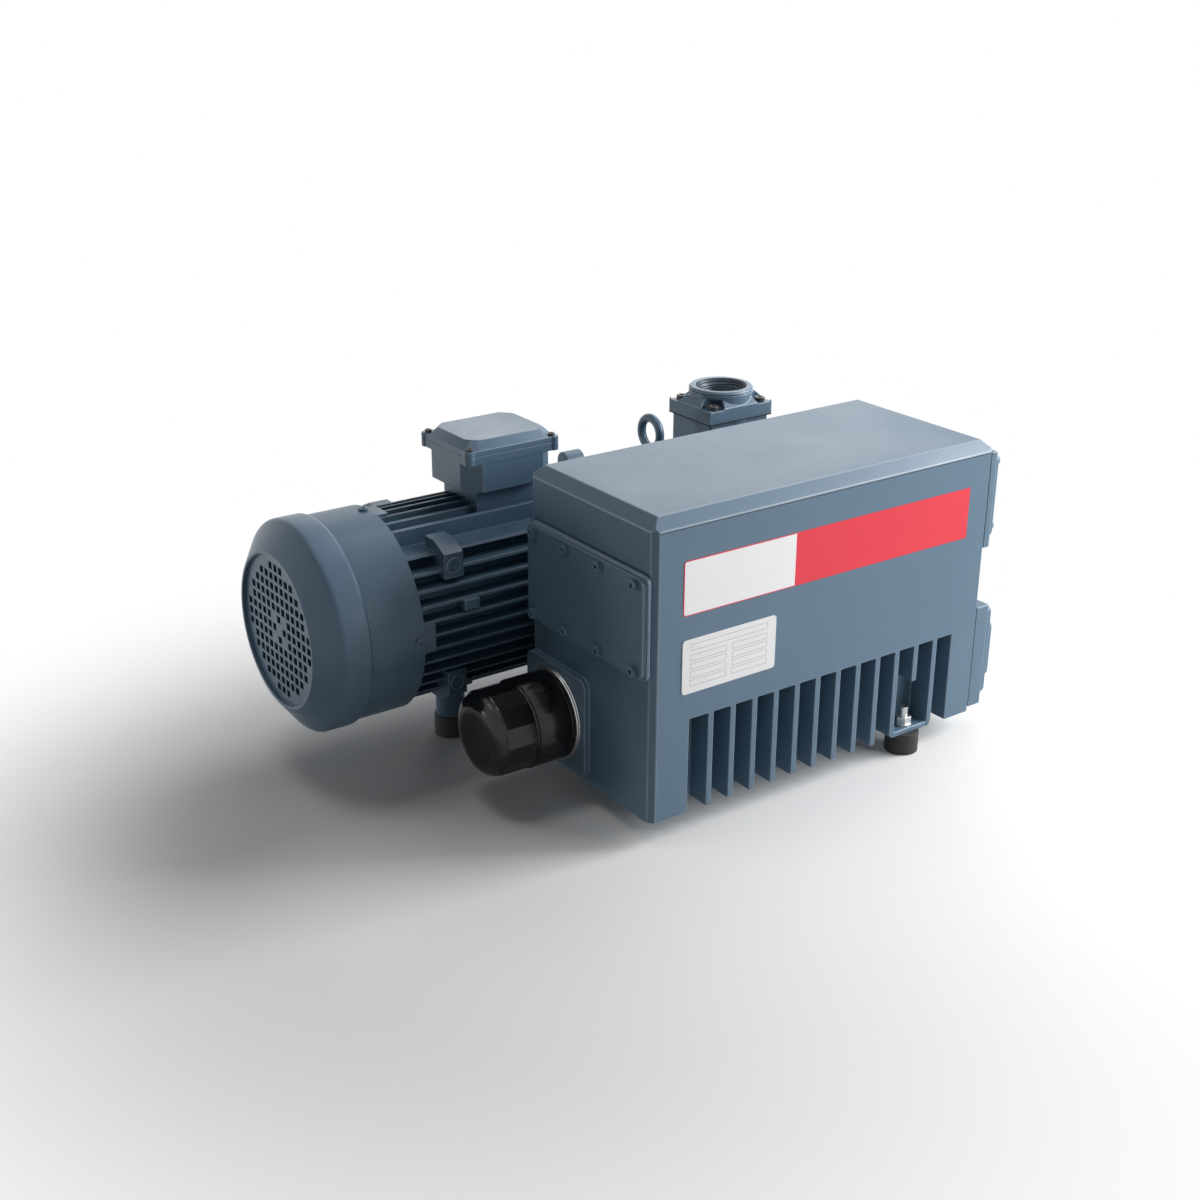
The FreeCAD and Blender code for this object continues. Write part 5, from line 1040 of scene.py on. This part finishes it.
def makePlate():
    left, right, bottom, top = (plate[key] for key in ("left", "right", "bottom", "top"))
    whole = roundedOutline(left, right, bottom, top, (plate["round"],) * 4)
    platesToPiece("nameplate", [whole], plate["thick"], smallGap, "plateSilver")
    (x, z), (stepX, stepZ) = fields["first"], fields["step"]
    boxes = [(x + column * stepX, z + level * stepZ, *fields["size"])
             for column in range(fields["columns"]) for level in range(fields["rows"])] + [fields["long"]]
    strips = []
    for x, z, width, height in boxes:
        strips += boxLines(left + x, bottom + z, width, height)
    platesToPiece("nameplateFields", strips, plate["print"], smallGap + plate["thick"], "plateInk")


makeBanner()
makePlate()
# painted shadow: a dark strip where the top's bevel meets the front
outline = squareOutline(*(seam[key] for key in ("left", "bottom", "right", "top")))
platesToPiece("topSeam", [outline], seam["print"], smallGap, "seamLine")
print("front panel and nameplate made")


# Floor, backdrop and lamps
studio = {"floorSize": 30.0, "bounce": 0.65, "seen": 1.0, "fadeFrom": 0.26, "fadeTo": 0.68, "world": 0.07,
          "fadeCentre": (0.14, 0.12, 0.0)}
lamps = {
    "key": dict(place=(1.75, -0.75, 1.15), aim=(0.1, 0.0, 0.12), size=(0.9, 0.9), power=36),
    "front": dict(place=(0.95, -1.1, 0.55), aim=(0.05, -0.1, 0.12), size=(0.7, 0.6), power=9.8),
    "back": dict(place=(1.5, 1.9, 1.0), aim=(0.1, 0.0, 0.2), size=(1.4, 0.8), power=5),
    "top": dict(place=(0.75, 0.3, 1.2), aim=(0.05, 0.0, 0.2), size=(0.8, 0.7), power=4.6),
    "left": dict(place=(-0.55, 0.1, 1.5), aim=(-0.05, 0.0, 0.2), size=(0.4, 0.4), power=1.6),
    "side": dict(place=(-1.25, 0.85, 0.17), aim=(-0.28, 0.08, 0.14), size=(0.35, 0.25), power=2.6),
}


def seenDirectly(tree):
    # 1 for what the camera, a reflection or clear glass looks at, 0 for light on its way round the object
    rays = addNode(tree, "ShaderNodeLightPath").outputs
    either = calculate(tree, "MAXIMUM", rays["Is Camera Ray"], rays["Is Glossy Ray"])
    return calculate(tree, "MAXIMUM", either, rays["Is Transmission Ray"])


def makeFloor():
    half = studio["floorSize"] / 2
    mesh = bpy.data.meshes.new("floor")
    corners = [(x, y, 0) for x, y in squareOutline(-half, -half, half, half)]
    mesh.from_pydata(corners, [], [(0, 1, 2, 3)])
    tree = startMaterial("floor")
    tree.nodes.remove(tree.nodes["Principled BSDF"])
    seen = seenDirectly(tree)
    # what looks at the floor sees it brighter than what it gives back to the object
    level = mapRange(tree, seen, To_Min=studio["bounce"], To_Max=studio["seen"])
    matt = addNode(tree, "ShaderNodeBsdfDiffuse", Color=level).outputs[0]
    # white again where the lamps no longer reach
    place = addNode(tree, "ShaderNodeTexCoord").outputs["Object"]
    shifted = addNode(tree, "ShaderNodeVectorMath", place, studio["fadeCentre"], operation="ADD").outputs[0]
    away = addNode(tree, "ShaderNodeVectorMath", shifted, operation="LENGTH").outputs["Value"]
    fade = mapRange(tree, away, interpolation_type="SMOOTHSTEP", From_Min=studio["fadeFrom"],
                    From_Max=studio["fadeTo"])
    glow = addNode(tree, "ShaderNodeEmission", Strength=1.0).outputs[0]
    both = addNode(tree, "ShaderNodeMixShader", calculate(tree, "MULTIPLY", fade, seen), matt, glow)
    feed(tree, tree.nodes["Material Output"].inputs["Surface"], both.outputs[0])
    mesh.materials.append(materials["floor"])
    newObject("floor", mesh)


def makeBackdrop():
    world = bpy.data.worlds.new("studio")
    bpy.context.scene.world = world
    world.use_nodes = True
    tree = world.node_tree
    back = tree.nodes["Background"].inputs
    feed(tree, back["Color"], (1, 1, 1, 1))
    feed(tree, back["Strength"], mapRange(tree, seenDirectly(tree), To_Min=studio["world"], To_Max=1.0))


def makeLamps():
    for name, lamp in lamps.items():
        data = bpy.data.lights.new(name, "AREA")
        data.shape = "RECTANGLE"
        data.size, data.size_y = lamp["size"]
        data.energy = lamp["power"]
        place = Vector(lamp["place"])
        newObject(name, data).matrix_world = aimMatrix(place, Vector(lamp["aim"]) - place, "-Z", "Y")
    bpy.context.scene.view_settings.view_transform = "Standard"


makeFloor()
makeBackdrop()
makeLamps()
print("studio made")
